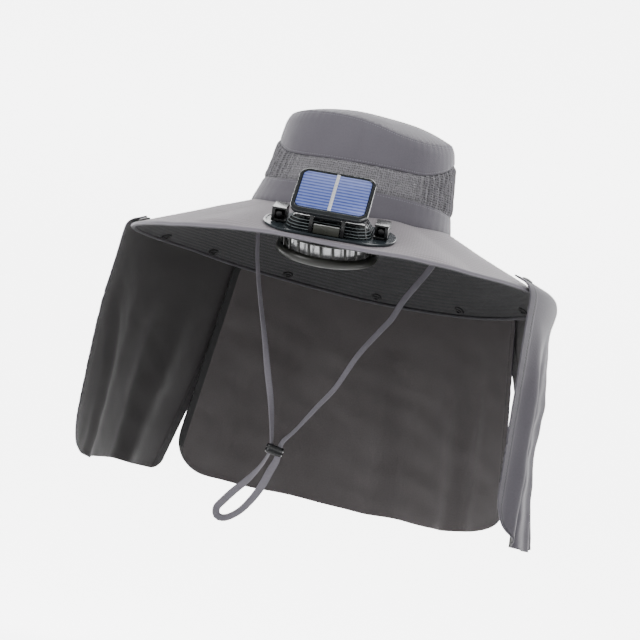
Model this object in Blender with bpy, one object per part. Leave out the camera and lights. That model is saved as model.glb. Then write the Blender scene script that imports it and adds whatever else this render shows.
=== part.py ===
"""Wide-brimmed sun hat with a three-panel neck flap, a chin cord and a solar fan in its front brim.

Metres, +Z up. The front of the hat looks along -Y, and +X is the wearer's left. The origin is the
middle of the head opening, at the seam between crown and brim. Angles round the hat are in degrees
from the front, positive towards +X.
"""

import math

import bmesh
import bpy
from mathutils import Matrix, Vector

# Fit between neighbouring pieces, and between a turning piece and its housing
GAP = 0.0003
RUNNING_GAP = 0.001

# Crown
CROWN_HALF_WIDTH = 0.095
CROWN_HALF_DEPTH = 0.100
CROWN_HEIGHT = 0.085
DOME_RISE = 0.013
DOME_RINGS = (0.0, 0.08, 0.28, 0.64)
DOME_ROUNDNESS = 2.6
CROWN_LEAN = 0.0045
CROWN_CLOTH = 0.0015
CROWN_TUCK = 0.0026
FRONT_DIP = 0.004

# Brim, with the reach and the drop that it has at the wearer's right
BRIM_REACH = 0.106
BRIM_DROP = 0.045
BRIM_CLOTH = 0.0021
FLAT_HALF_ANGLE = 18.0
FLAT_FADE = 26.0
BINDING_WIDTH = 0.0046
BINDING_DEPTH = 0.0038

# Neck flap
FLAP_DROP = 0.222
FLAP_CLOTH = 0.0012
FLAP_LIP = 0.013
FLAP_LAYER = 0.0032
FLAP_FOLD = 0.0045
FOLD_FADE = 0.2
FOLD_ONSET = 1.6
LIP_SHARES = (1.0, 0.45, 0.09)
TURN_OUT = 0.72
TURN_UP = 0.25
FALL_SHARES = (0.03, 0.12, 0.30, 0.50, 0.72, 0.90, 1.0)

# Press studs
STUD_DIAMETER = 0.0105
STUD_HEIGHT = 0.0022
STUD_INSET = 0.0105

# Fan unit, in its own frame: Z along the fan's axis, away from the brim, and -Y forwards
FAN_REACH = 0.062
PLATE_LENGTH = 0.114
PLATE_WIDTH = 0.060
PLATE_THICKNESS = 0.0022
PLATE_CORNER = 0.0276
INTAKE_RADIUS = 0.0190
SPIGOT_RADIUS = 0.0215
SPIGOT_WALL = 0.0020
CAGE_RADIUS = 0.0415
CAGE_DEPTH = 0.0195
CAGE_TOP_WALL = 0.0016
CAGE_LEDGE = 0.0018
CAGE_RIBS = 24
CAGE_RIB_WIDTH = 0.0022
CAGE_RIB_THICKNESS = 0.0016
CAGE_RIB_SKEW = 9.0
CAGE_RING_RADIUS = 0.0046
SPOKE_COUNT = 6
SPOKE_WIDTH = 0.0030
SPOKE_THICKNESS = 0.0024
SPOKE_RISE = 0.0012
MOTOR_RADIUS = 0.0100
MOTOR_HEIGHT = 0.0030
SPOKE_ROOT = 0.0060
ROTOR_RADIUS = 0.0345
ROTOR_HUB_RADIUS = 0.0115
BLADE_ROOT = 0.0086
ROTOR_HEIGHT = 0.0096
BLADE_COUNT = 9
BLADE_THICKNESS = 0.0013
BLADE_PITCH = 34.0

# Guard and clips over the fan
GUARD_CLEARANCE = 0.0015
GUARD_HALF_WIDTH = 0.0220
GUARD_HEIGHT = 0.0105
GUARD_LID = 0.0018
GUARD_SILL = 0.0016
GUARD_CORNER = 0.0136
GUARD_VANES = 20
VANE_THICKNESS = 0.0012
VANE_DEPTH = 0.0034
VANE_INSET = 0.0022
VANE_LEAN = 38.0
CLIP_LENGTH = 0.0120
CLIP_WIDTH = 0.0200
CLIP_HEIGHT = 0.0122
CLIP_INSET = 0.0130
CLIP_CORNER = 0.0015
COVER_LENGTH = 0.0222
COVER_WIDTH = 0.0036
COVER_HEIGHT = 0.0076
COVER_FORWARD = 0.0007
POST_LENGTH = 0.0032
POST_WIDTH = 0.0050
POST_HEAD = 0.0021
POST_SPREAD = 0.0135
PIVOT_HEIGHT = 0.0148
PIN_RADIUS = 0.0012

# Solar panel, hinged at its lower edge
PANEL_LENGTH = 0.0660
PANEL_DEPTH = 0.0500
PANEL_THICKNESS = 0.0046
PANEL_CORNER = 0.0085
PANEL_RIM = 0.0034
PANEL_FOOT_RIM = 0.0058
CELL_RECESS = 0.0012
CELL_THICKNESS = 0.0010
BUSBAR_WIDTH = 0.0028
BUSBAR_THICKNESS = 0.0004
KNUCKLE_RADIUS = 0.0030
KNUCKLE_SINK = 0.0010
PANEL_TILT = 30.0

# Chin cord and its two-hole toggle
CORD_DIAMETER = 0.0036
TOGGLE_LENGTH = 0.0172
TOGGLE_HEIGHT = 0.0086
TOGGLE_WIDTH = 0.0084
TOGGLE_SLACK = 0.0013
TOGGLE_CORNER = 0.0034
TOGGLE_HOLE_SPREAD = 0.0041
TOGGLE_PLACE = (-0.0277, -0.0300, -0.2263)
TOGGLE_TURN = 10.5

# Fineness of the faceted surfaces
ROUND_STEPS = 48
CAGE_STEPS = 30
REAR_COLUMNS = 21
SIDE_COLUMNS = 16
EDGE_CROWDING = 0.11
LOWER_BAND_STEPS = 2
MESH_BAND_STEPS = 2
UPPER_BAND_STEPS = 2
BRIM_STEPS = 4
BEAD_SIDES = 6
RING_SIDES = 8
STUD_STEPS = 10
HUB_STEPS = 28
BORE_STEPS = 32
PIN_STEPS = 12
TOGGLE_HOLE_STEPS = 16
KNUCKLE_STEPS = 12
ROUTE_STEPS = 12
CORD_POINTS = 56

# Section of the crown: height, width and sideways lean, as shares of the sizes above
CROWN_SECTION = (
    # height, width, lean
    (-0.10, 0.996, 0.00),
    (0.00, 1.000, 0.00),
    (0.12, 0.976, 0.25),
    (0.39, 0.925, 0.75),
    (0.71, 0.884, 1.00),
    (1.05, 0.818, 0.95),
)

# Seams round the crown: their heights as shares of CROWN_HEIGHT
CROWN_SEAMS = (
    # angle, mesh foot, mesh head, top seam
    (-180, 0.24, 0.78, 1.00),
    (-120, 0.25, 0.78, 1.00),
    (-85, 0.25, 0.73, 1.00),
    (-65, 0.25, 0.62, 1.01),
    (-45, 0.24, 0.53, 1.02),
    (-12, 0.24, 0.515, 1.01),
    (10, 0.24, 0.515, 0.96),
    (25, 0.24, 0.515, 0.91),
    (45, 0.23, 0.53, 0.89),
    (65, 0.21, 0.63, 0.92),
    (85, 0.18, 0.76, 0.97),
    (120, 0.20, 0.78, 1.00),
)

# Hem of the brim: its reach and drop as shares of BRIM_REACH and BRIM_DROP
BRIM_HEM = (
    # angle, reach, drop
    (-180, 0.915, 1.54),
    (-157, 0.925, 1.41),
    (-141, 0.940, 1.31),
    (-120, 0.965, 1.14),
    (-80, 1.000, 1.00),
    (-45, 1.020, 0.88),
    (0, 1.038, 0.79),
    (45, 1.020, 0.88),
    (80, 1.000, 1.02),
    (122, 0.965, 1.40),
    (142, 0.940, 1.53),
    (165, 0.920, 1.57),
)

# Panels of the neck flap. Angles are those of the two side edges at the brim and at the foot, the
# flares and corner radii are shares of FLAP_DROP, and the layer counts outwards from the brim.
FLAP_PANELS = (
    # name, edges at the brim, edges at the foot, flare, foot corners, layer
    ("flap_right", (-148.0, -77.0), (-129.0, -78.0), (0.080, 0.075), (0.05, 0.17), 1),
    ("flap_rear", (122.0, 219.0), (116.5, 224.5), (0.075, 0.040), (0.16, 0.20), 0),
    ("flap_left", (58.0, 129.0), (57.0, 112.0), (0.036, 0.105), (0.22, 0.06), 1),
)

# Lengthwise folds of each panel: place along it and width as shares of it, depth of FLAP_FOLD
FLAP_FOLDS = {
    "flap_right": ((0.22, 0.14, -0.8), (0.50, 0.12, 0.9), (0.78, 0.10, -1.0)),
    "flap_rear": ((0.14, 0.10, 0.8), (0.38, 0.14, -0.9), (0.62, 0.12, 0.9), (0.86, 0.10, -0.8)),
    "flap_left": ((0.16, 0.10, -1.0), (0.36, 0.12, 0.9), (0.62, 0.14, -0.7), (0.84, 0.10, 0.8)),
}

# Press studs round the hem, by angle
STUD_ANGLES = (-69.0, -105.5, -129.0, -157.0, 172.5, 142.5, 111.0, 64.0)

# Route of the chin cord, from the seam at the wearer's right, round the loop, to the left seam
CORD_ROUTE = (
    (-0.0897, -0.0060, 0.0040),
    (-0.0898, -0.0062, -0.0060),
    (-0.0875, -0.0070, -0.0160),
    (-0.0835, -0.0080, -0.0290),
    (-0.0787, -0.0110, -0.0552),
    (-0.0695, -0.0150, -0.0881),
    (-0.0576, -0.0190, -0.1251),
    (-0.0496, -0.0220, -0.1521),
    (-0.0395, -0.0260, -0.1843),
    (-0.0330, -0.0290, -0.2130),
    (-0.0318, -0.0300, -0.2263),
    (-0.0349, -0.0310, -0.2375),
    (-0.0411, -0.0330, -0.2490),
    (-0.0489, -0.0350, -0.2600),
    (-0.0575, -0.0370, -0.2700),
    (-0.0650, -0.0385, -0.2800),
    (-0.0700, -0.0400, -0.2880),
    (-0.0676, -0.0410, -0.2950),
    (-0.0595, -0.0410, -0.2950),
    (-0.0490, -0.0400, -0.2875),
    (-0.0406, -0.0380, -0.2762),
    (-0.0331, -0.0360, -0.2617),
    (-0.0275, -0.0330, -0.2450),
    (-0.0240, -0.0310, -0.2350),
    (-0.0236, -0.0300, -0.2263),
    (-0.0215, -0.0292, -0.2170),
    (-0.0124, -0.0280, -0.2050),
    (0.0042, -0.0250, -0.1789),
    (0.0172, -0.0220, -0.1585),
    (0.0313, -0.0180, -0.1266),
    (0.0472, -0.0140, -0.1005),
    (0.0564, -0.0120, -0.0860),
    (0.0640, -0.0100, -0.0673),
    (0.0830, -0.0070, -0.0333),
    (0.0885, -0.0060, -0.0160),
    (0.0906, -0.0060, -0.0060),
    (0.0908, -0.0060, 0.0040),
)

MATERIALS = {
    # name: colour, roughness, metallic
    "grey_nylon": ((0.180, 0.172, 0.188, 1.0), 0.80, 0.0),
    "grey_mesh": ((0.200, 0.196, 0.196, 1.0), 0.85, 0.0),
    "brim_cloth": ((0.330, 0.310, 0.320, 1.0), 0.80, 0.0),
    "flap_nylon": ((0.150, 0.143, 0.155, 1.0), 0.75, 0.0),
    "cord_tape": ((0.145, 0.137, 0.152, 1.0), 0.80, 0.0),
    "black_plastic": ((0.012, 0.013, 0.014, 1.0), 0.35, 0.0),
    "smoked_plastic": ((0.110, 0.115, 0.110, 1.0), 0.25, 0.0),
    "silver_plastic": ((0.520, 0.530, 0.540, 1.0), 0.30, 0.3),
    "solar_cell": ((0.120, 0.180, 0.420, 1.0), 0.20, 0.1),
    "tinned_busbar": ((0.850, 0.860, 0.860, 1.0), 0.30, 0.9),
    "steel": ((0.550, 0.560, 0.570, 1.0), 0.30, 1.0),
}


def smooth_step(x):
    x = min(max(x, 0.0), 1.0)
    return x * x * (3 - 2 * x)


def between(rows, at, column):
    """A smooth curve through one column of a table whose first column rises."""
    index = max(k for k in range(len(rows) - 1) if k == 0 or rows[k][0] <= at)
    start, end = rows[index], rows[index + 1]
    before, after = rows[max(index - 1, 0)], rows[min(index + 2, len(rows) - 1)]
    span = end[0] - start[0]
    slope_in = (end[column] - before[column]) / (end[0] - before[0])
    slope_out = (after[column] - start[column]) / (after[0] - start[0])
    t = min(max((at - start[0]) / span, 0.0), 1.0)
    return (
        (2 * t**3 - 3 * t**2 + 1) * start[column]
        + (t**3 - 2 * t**2 + t) * span * slope_in
        + (3 * t**2 - 2 * t**3) * end[column]
        + (t**3 - t**2) * span * slope_out
    )


def around(rows, angle, column):
    """The same curve for a table of angles, closed round the hat."""
    angle = (angle + 180.0) % 360.0 - 180.0
    before = [(row[0] - 360.0, *row[1:]) for row in rows[-2:]]
    after = [(row[0] + 360.0, *row[1:]) for row in rows[:2]]
    return between([*before, *rows, *after], angle, column)


def heading(angle):
    return Vector((math.sin(math.radians(angle)), -math.cos(math.radians(angle)), 0.0))


def hem_reach(angle):
    return BRIM_REACH * around(BRIM_HEM, angle, 1)


def hem_drop(angle):
    return BRIM_DROP * around(BRIM_HEM, angle, 2)


def fan_slope():
    """The slope of the brim at the front, where the fan sits on a flat place."""
    return math.atan2(hem_drop(0.0), hem_reach(0.0))


def brim_point(angle, share):
    """A point of the brim's upper face, from the crown's seam (share 0) to the hem (share 1)."""
    out = heading(angle)
    dip = FRONT_DIP * max(0.0, math.cos(math.radians(angle))) ** 2
    point = Vector((CROWN_HALF_WIDTH * out.x, CROWN_HALF_DEPTH * out.y, -dip))
    point += out * hem_reach(angle) * share
    point.z -= hem_drop(angle) * share
    level = -FRONT_DIP - (-CROWN_HALF_DEPTH - point.y) * math.tan(fan_slope())
    flat = 1.0 - smooth_step((abs((angle + 180.0) % 360.0 - 180.0) - FLAT_HALF_ANGLE) / FLAT_FADE)
    point.z += (level - point.z) * flat
    return point


def brim_normal(angle, share):
    """The way that the brim's upper face looks at a point."""
    along = brim_point(angle + 1.0, share) - brim_point(angle - 1.0, share)
    outwards = brim_point(angle, share + 0.01) - brim_point(angle, share - 0.01)
    return outwards.cross(along).normalized()


def crown_point(angle, height, inset=0.0):
    """A point of the crown's outer face at a height above the origin, or that far inside it."""
    share = height / CROWN_HEIGHT
    width = between(CROWN_SECTION, share, 1)
    out = heading(angle)
    x = (CROWN_HALF_WIDTH * width - inset) * out.x + CROWN_LEAN * between(CROWN_SECTION, share, 2)
    return Vector((x, (CROWN_HALF_DEPTH * width - inset) * out.y, height))


def material(name):
    found = bpy.data.materials.get(name)
    if found:
        return found
    made = bpy.data.materials.new(name)
    made.use_nodes = True
    colour, roughness, metallic = MATERIALS[name]
    shader = made.node_tree.nodes["Principled BSDF"]
    shader.inputs["Base Color"].default_value = colour
    shader.inputs["Roughness"].default_value = roughness
    shader.inputs["Metallic"].default_value = metallic
    made.diffuse_color = colour
    return made


def add_object(name, work, finish, parent=None, smooth=None):
    """Turn a bmesh into a named object with its material."""
    bmesh.ops.recalc_face_normals(work, faces=work.faces)
    mesh = bpy.data.meshes.new(name)
    work.to_mesh(mesh)
    work.free()
    made = bpy.data.objects.new(name, mesh)
    bpy.context.collection.objects.link(made)
    mesh.materials.append(material(finish))
    if smooth is not None:
        mesh.shade_smooth()
        mesh.set_sharp_from_angle(angle=math.radians(smooth))
    made.parent = parent
    return made


def shell(name, finish, outer, inner, closed):
    """A wall between two grids of points: rows of columns, the columns closed round or not."""
    work = bmesh.new()
    rows, columns = len(outer), len(outer[0])
    grids = [[[work.verts.new(p) for p in row] for row in grid] for grid in (outer, inner)]
    last = columns if closed else columns - 1
    for grid in grids:
        for i in range(rows - 1):
            for j in range(last):
                k = (j + 1) % columns
                work.faces.new((grid[i][j], grid[i][k], grid[i + 1][k], grid[i + 1][j]))
    front, back = grids
    for i in (0, rows - 1):
        for j in range(last):
            k = (j + 1) % columns
            work.faces.new((front[i][j], front[i][k], back[i][k], back[i][j]))
    if not closed:
        for j in (0, columns - 1):
            for i in range(rows - 1):
                work.faces.new((front[i][j], front[i + 1][j], back[i + 1][j], back[i][j]))
    return add_object(name, work, finish, smooth=40)


def box(work, size, centre, turn=None):
    matrix = Matrix.Translation(centre) @ (turn or Matrix()) @ Matrix.Diagonal((*size, 1.0))
    bmesh.ops.create_cube(work, size=1.0, matrix=matrix)


def cylinder(work, radius, height, centre, steps=32, turn=None):
    matrix = Matrix.Translation(centre) @ (turn or Matrix())
    bmesh.ops.create_cone(
        work,
        cap_ends=True,
        segments=steps,
        radius1=radius,
        radius2=radius,
        depth=height,
        matrix=matrix,
    )


def prism(work, outline, low, high, turn=None):
    """A straight block over an outline in XY, given anticlockwise, and turned if asked."""
    turn = turn or Matrix()
    bottom = [work.verts.new(turn @ Vector((x, y, low))) for x, y in outline]
    top = [work.verts.new(turn @ Vector((x, y, high))) for x, y in outline]
    work.faces.new(list(reversed(bottom)))
    work.faces.new(top)
    for j, _ in enumerate(outline):
        k = (j + 1) % len(outline)
        work.faces.new((bottom[j], bottom[k], top[k], top[j]))


def turned(work, profile, steps):
    """A closed ring with a section given as (radius, height), anticlockwise in that plane."""
    rings = []
    for j in range(steps):
        turn = math.tau * j / steps
        rings.append(
            [work.verts.new((r * math.cos(turn), r * math.sin(turn), z)) for r, z in profile]
        )
    for j in range(steps):
        here, there = rings[j], rings[(j + 1) % steps]
        for i, _ in enumerate(profile):
            k = (i + 1) % len(profile)
            work.faces.new((here[i], there[i], there[k], here[k]))


def rounded_outline(length, width, corner, steps=5, centre=(0.0, 0.0)):
    """A rectangle with round corners, anticlockwise."""
    points = []
    for quarter, (side_x, side_y) in enumerate(((1, 1), (-1, 1), (-1, -1), (1, -1))):
        x = centre[0] + side_x * (length / 2 - corner)
        y = centre[1] + side_y * (width / 2 - corner)
        for step in range(steps + 1):
            turn = math.radians(90.0 * (quarter + step / steps))
            points.append((x + corner * math.cos(turn), y + corner * math.sin(turn)))
    return points


def combine(target, tool, operation):
    """Join a tool to an object, or cut it out, and keep the tool as a hidden guide."""
    step = target.modifiers.new(operation.lower(), "BOOLEAN")
    step.operation = operation
    step.solver = "EXACT"
    step.object = tool
    tool.hide_render = True
    tool.display_type = "WIRE"


def grid_rows(low, high, inset, rows):
    """Rows of the crown's wall between two seams, each given as a function of the angle."""
    grid = []
    for i in range(rows + 1):
        row = []
        for j in range(ROUND_STEPS):
            angle = 360.0 * j / ROUND_STEPS
            row.append(crown_point(angle, low(angle) + (high(angle) - low(angle)) * i / rows, inset))
        grid.append(row)
    return grid


def seam(column):
    return lambda angle: CROWN_HEIGHT * around(CROWN_SEAMS, angle, column)


def crown_band(name, finish, low, high, rows):
    def above(angle):
        return low(angle) + GAP / 2

    def below(angle):
        return high(angle) - GAP / 2

    outer = grid_rows(above, below, 0.0, rows)
    inner = grid_rows(above, below, CROWN_CLOTH, rows)
    return shell(name, finish, outer, inner, closed=True)


def crown_foot(angle):
    return brim_point(angle, 0.0).z - CROWN_TUCK


def make_crown():
    crown_band("crown_lower_band", "grey_nylon", crown_foot, seam(1), LOWER_BAND_STEPS)
    crown_band("crown_mesh_band", "grey_mesh", seam(1), seam(2), MESH_BAND_STEPS)
    crown_band("crown_upper_band", "grey_nylon", seam(2), seam(3), UPPER_BAND_STEPS)
    make_crown_top()


def make_crown_top():
    """The top panel: a shallow dome from the top seam, closed by a small middle face."""
    work = bmesh.new()
    layers = []
    for depth in (0.0, CROWN_CLOTH):
        rings = []
        for share in DOME_RINGS:
            ring = []
            for j in range(ROUND_STEPS):
                angle = 360.0 * j / ROUND_STEPS
                foot = seam(3)(angle) + GAP / 2
                edge = crown_point(angle, foot, depth)
                middle = Vector((CROWN_LEAN, 0.0, edge.z))
                point = edge.lerp(middle, share)
                rise = CROWN_HEIGHT + DOME_RISE - foot
                climb = 1.0 - (1.0 - share) ** DOME_ROUNDNESS
                point.z = foot + CROWN_CLOTH - depth + rise * climb
                ring.append(work.verts.new(point))
            rings.append(ring)
        work.faces.new(rings[-1])
        layers.append(rings)
    for rings in [*layers, (layers[0][0], layers[1][0])]:
        for here, there in zip(rings, rings[1:]):
            for j in range(ROUND_STEPS):
                k = (j + 1) % ROUND_STEPS
                work.faces.new((here[j], here[k], there[k], there[j]))
    return add_object("crown_top", work, "grey_nylon", smooth=40)


def make_brim(fan_frame):
    """The brim from the crown's seam to its binding, with the round hole for the fan."""
    upper, lower = [], []
    for i in range(BRIM_STEPS + 1):
        top = []
        for j in range(ROUND_STEPS):
            angle = 360.0 * j / ROUND_STEPS
            start = GAP / hem_reach(angle)
            end = 1.0 - (BINDING_WIDTH + GAP) / hem_reach(angle)
            top.append(brim_point(angle, start + (end - start) * i / BRIM_STEPS))
        upper.append(top)
        lower.append([p - Vector((0.0, 0.0, BRIM_CLOTH)) for p in top])
    brim = shell("brim", "brim_cloth", upper, lower, closed=True)
    work = bmesh.new()
    cylinder(work, SPIGOT_RADIUS + GAP, CAGE_DEPTH * 2, (0.0, 0.0, 0.0), steps=CAGE_STEPS)
    hole = add_object("brim_hole_cutter", work, "black_plastic", parent=fan_frame)
    combine(brim, hole, "DIFFERENCE")


def make_brim_binding():
    """The bound edge: a flattened bead that runs round just outside the brim's cut edge."""
    work = bmesh.new()
    rings = []
    for j in range(ROUND_STEPS):
        angle = 360.0 * j / ROUND_STEPS
        out = heading(angle)
        centre = brim_point(angle, 1.0) - out * BINDING_WIDTH / 2
        centre.z -= BRIM_CLOTH / 2
        ring = []
        for i in range(BEAD_SIDES):
            turn = math.tau * (i + 0.5) / BEAD_SIDES
            across = out * math.cos(turn) * BINDING_WIDTH / 2
            along = Vector((0.0, 0.0, math.sin(turn) * BINDING_DEPTH / 2))
            ring.append(work.verts.new(centre + across + along))
        rings.append(ring)
    for j in range(ROUND_STEPS):
        here, there = rings[j], rings[(j + 1) % ROUND_STEPS]
        for i in range(BEAD_SIDES):
            k = (i + 1) % BEAD_SIDES
            work.faces.new((here[i], there[i], there[k], here[k]))
    add_object("brim_binding", work, "brim_cloth", smooth=60)


def corner_lift(distance, radius):
    """How far a round corner lifts the foot of a panel, at a distance from its side edge."""
    if distance >= radius:
        return 0.0
    return radius - math.sqrt(max(radius**2 - (radius - distance) ** 2, 0.0))


def fold_depth(name, share):
    """How far the folds push a column of a panel outwards. They die out towards its side edges."""
    depth = 0.0
    for middle, width, height in FLAP_FOLDS[name]:
        depth += height * math.exp(-(((share - middle) / width) ** 2))
    nearest_edge = min(share, 1.0 - share)
    return FLAP_FOLD * depth * smooth_step(nearest_edge / FOLD_FADE)


def flap_column(panel, share):
    """The middle line of one column of a flap panel, as (point, outward way) pairs."""
    name, top_edges, foot_edges, flare, corners, layer = panel
    top_angle = top_edges[0] + (top_edges[1] - top_edges[0]) * share
    foot_angle = foot_edges[0] + (foot_edges[1] - foot_edges[0]) * share
    hem = brim_point(top_angle, 1.0)
    span = math.radians(foot_edges[1] - foot_edges[0]) * Vector((hem.x, hem.y)).length
    lift = corner_lift(share * span, corners[0] * FLAP_DROP)
    lift += corner_lift((1.0 - share) * span, corners[1] * FLAP_DROP)
    length = FLAP_DROP - lift
    spread = (flare[0] + (flare[1] - flare[0]) * share) * FLAP_DROP
    over = (BINDING_DEPTH - BRIM_CLOTH) / 2 + GAP + FLAP_CLOTH / 2 + FLAP_LAYER * layer
    beside = GAP + FLAP_CLOTH + FLAP_LAYER * layer
    out = heading(top_angle)
    slope = hem_drop(top_angle) / hem_reach(top_angle)
    line = []
    up = Vector((0.0, 0.0, 1.0))
    for share_in in LIP_SHARES:
        inward = FLAP_LIP * share_in
        point = hem - out * inward
        point.z += inward * slope + over
        line.append((point, up))
    line.append((hem + out * beside * TURN_OUT + up * over * TURN_UP, out + up))
    for step in FALL_SHARES:
        fall = step * length
        angle = top_angle + (foot_angle - top_angle) * fall / FLAP_DROP
        away = beside + spread * fall / FLAP_DROP
        away += fold_depth(name, share) * smooth_step(fall / FLAP_DROP * FOLD_ONSET)
        radius = Vector((hem.x, hem.y)).length + away
        side = heading(angle) * radius
        line.append((Vector((side.x, side.y, hem.z - fall)), heading(angle)))
    return line


def make_flap(panel):
    columns = REAR_COLUMNS if panel[0] == "flap_rear" else SIDE_COLUMNS
    even = [j / (columns - 1) for j in range(columns)]
    lines = [flap_column(panel, t - EDGE_CROWDING * math.sin(math.tau * t)) for t in even]
    outer, inner = [], []
    for i, _ in enumerate(lines[0]):
        outer.append([p + n.normalized() * FLAP_CLOTH / 2 for p, n in (line[i] for line in lines)])
        inner.append([p - n.normalized() * FLAP_CLOTH / 2 for p, n in (line[i] for line in lines)])
    shell(panel[0], "flap_nylon", outer, inner, closed=False)


def flap_layer(angle):
    """The highest layer of the flap that lies on the hem at an angle, or None."""
    found = [
        panel[5]
        for panel in FLAP_PANELS
        if any(panel[1][0] <= angle + turn <= panel[1][1] for turn in (-360.0, 0.0, 360.0))
    ]
    return max(found) if found else None


def make_studs():
    """Press studs: a cap above the hem and one under it at each place."""
    for number, angle in enumerate(STUD_ANGLES, start=1):
        share = 1.0 - STUD_INSET / hem_reach(angle)
        seat = brim_point(angle, share)
        turn = Vector((0.0, 0.0, 1.0)).rotation_difference(brim_normal(angle, share))
        layer = flap_layer(angle)
        lift = GAP
        if layer is not None:
            lift += (BINDING_DEPTH - BRIM_CLOTH) / 2 + GAP + FLAP_CLOTH + FLAP_LAYER * layer
        sink = -BRIM_CLOTH - 2 * GAP
        for side, rise, way in (("top", lift, 0.5), ("under", sink, -0.5)):
            centre = seat + Vector((0.0, 0.0, rise)) + turn @ Vector((0.0, 0.0, way * STUD_HEIGHT))
            work = bmesh.new()
            cylinder(
                work,
                STUD_DIAMETER / 2,
                STUD_HEIGHT,
                centre,
                steps=STUD_STEPS,
                turn=turn.to_matrix().to_4x4(),
            )
            add_object(f"stud_{side}_{number}", work, "black_plastic", smooth=40)


def smooth_route(points, count):
    """Evenly spaced points on a smooth curve through a route's own points."""
    points = [Vector(p) for p in points]
    fine = []
    for i in range(len(points) - 1):
        p0, p1 = points[max(i - 1, 0)], points[i]
        p2, p3 = points[i + 1], points[min(i + 2, len(points) - 1)]
        for step in range(ROUTE_STEPS):
            t = step / ROUTE_STEPS
            fine.append(
                0.5
                * (
                    2 * p1
                    + (p2 - p0) * t
                    + (2 * p0 - 5 * p1 + 4 * p2 - p3) * t**2
                    + (3 * p1 - p0 - 3 * p2 + p3) * t**3
                )
            )
    fine.append(points[-1])
    lengths = [0.0]
    for here, there in zip(fine, fine[1:]):
        lengths.append(lengths[-1] + (there - here).length)
    chosen, k = [], 0
    for step in range(count):
        target = lengths[-1] * step / (count - 1)
        while k < len(fine) - 2 and lengths[k + 1] < target:
            k += 1
        share = (target - lengths[k]) / (lengths[k + 1] - lengths[k])
        chosen.append(fine[k].lerp(fine[k + 1], min(max(share, 0.0), 1.0)))
    return chosen


def make_chin_cord():
    route = smooth_route(CORD_ROUTE, CORD_POINTS)
    curve = bpy.data.curves.new("chin_cord", "CURVE")
    curve.dimensions = "3D"
    curve.bevel_depth = CORD_DIAMETER / 2
    curve.bevel_resolution = 2
    curve.use_fill_caps = True
    line = curve.splines.new("POLY")
    line.points.add(len(route) - 1)
    for knot, point in zip(line.points, route):
        knot.co = (*point, 1.0)
    made = bpy.data.objects.new("chin_cord", curve)
    curve.materials.append(material("cord_tape"))
    bpy.context.collection.objects.link(made)


def make_cord_toggle():
    """The toggle: a small barrel with two holes, one for each strand of the cord."""
    seat = bpy.data.objects.new("toggle_frame", None)
    bpy.context.collection.objects.link(seat)
    seat.location = TOGGLE_PLACE
    seat.rotation_euler = (0.0, math.radians(TOGGLE_TURN), 0.0)
    work = bmesh.new()
    prism(
        work,
        rounded_outline(TOGGLE_LENGTH, TOGGLE_WIDTH, TOGGLE_CORNER),
        -TOGGLE_HEIGHT / 2,
        TOGGLE_HEIGHT / 2,
    )
    toggle = add_object("cord_toggle", work, "black_plastic", parent=seat, smooth=40)
    for side in (-1, 1):
        work = bmesh.new()
        cylinder(
            work,
            CORD_DIAMETER / 2 + TOGGLE_SLACK,
            TOGGLE_HEIGHT * 2,
            (side * TOGGLE_HOLE_SPREAD, 0.0, 0.0),
            steps=TOGGLE_HOLE_STEPS,
        )
        hole = add_object(f"toggle_hole_{side}", work, "black_plastic", parent=seat)
        combine(toggle, hole, "DIFFERENCE")


def make_fan_frame():
    """The empty that carries the fan unit: on the brim's upper face, tilted as the brim is."""
    frame = bpy.data.objects.new("fan_frame", None)
    bpy.context.collection.objects.link(frame)
    frame.location = brim_point(0.0, FAN_REACH / hem_reach(0.0))
    frame.rotation_euler = (fan_slope(), 0.0, 0.0)
    return frame


def make_fan_plate(frame):
    """The plate over the brim, with the intake hole under the guard."""
    work = bmesh.new()
    prism(
        work,
        rounded_outline(PLATE_LENGTH, PLATE_WIDTH, PLATE_CORNER, steps=8),
        GAP,
        GAP + PLATE_THICKNESS,
    )
    plate = add_object("fan_plate", work, "black_plastic", parent=frame, smooth=40)
    work = bmesh.new()
    cylinder(work, INTAKE_RADIUS, PLATE_THICKNESS * 6, (0.0, 0.0, 0.0), steps=BORE_STEPS)
    combine(plate, add_object("intake_cutter", work, "black_plastic", parent=frame), "DIFFERENCE")


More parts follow.
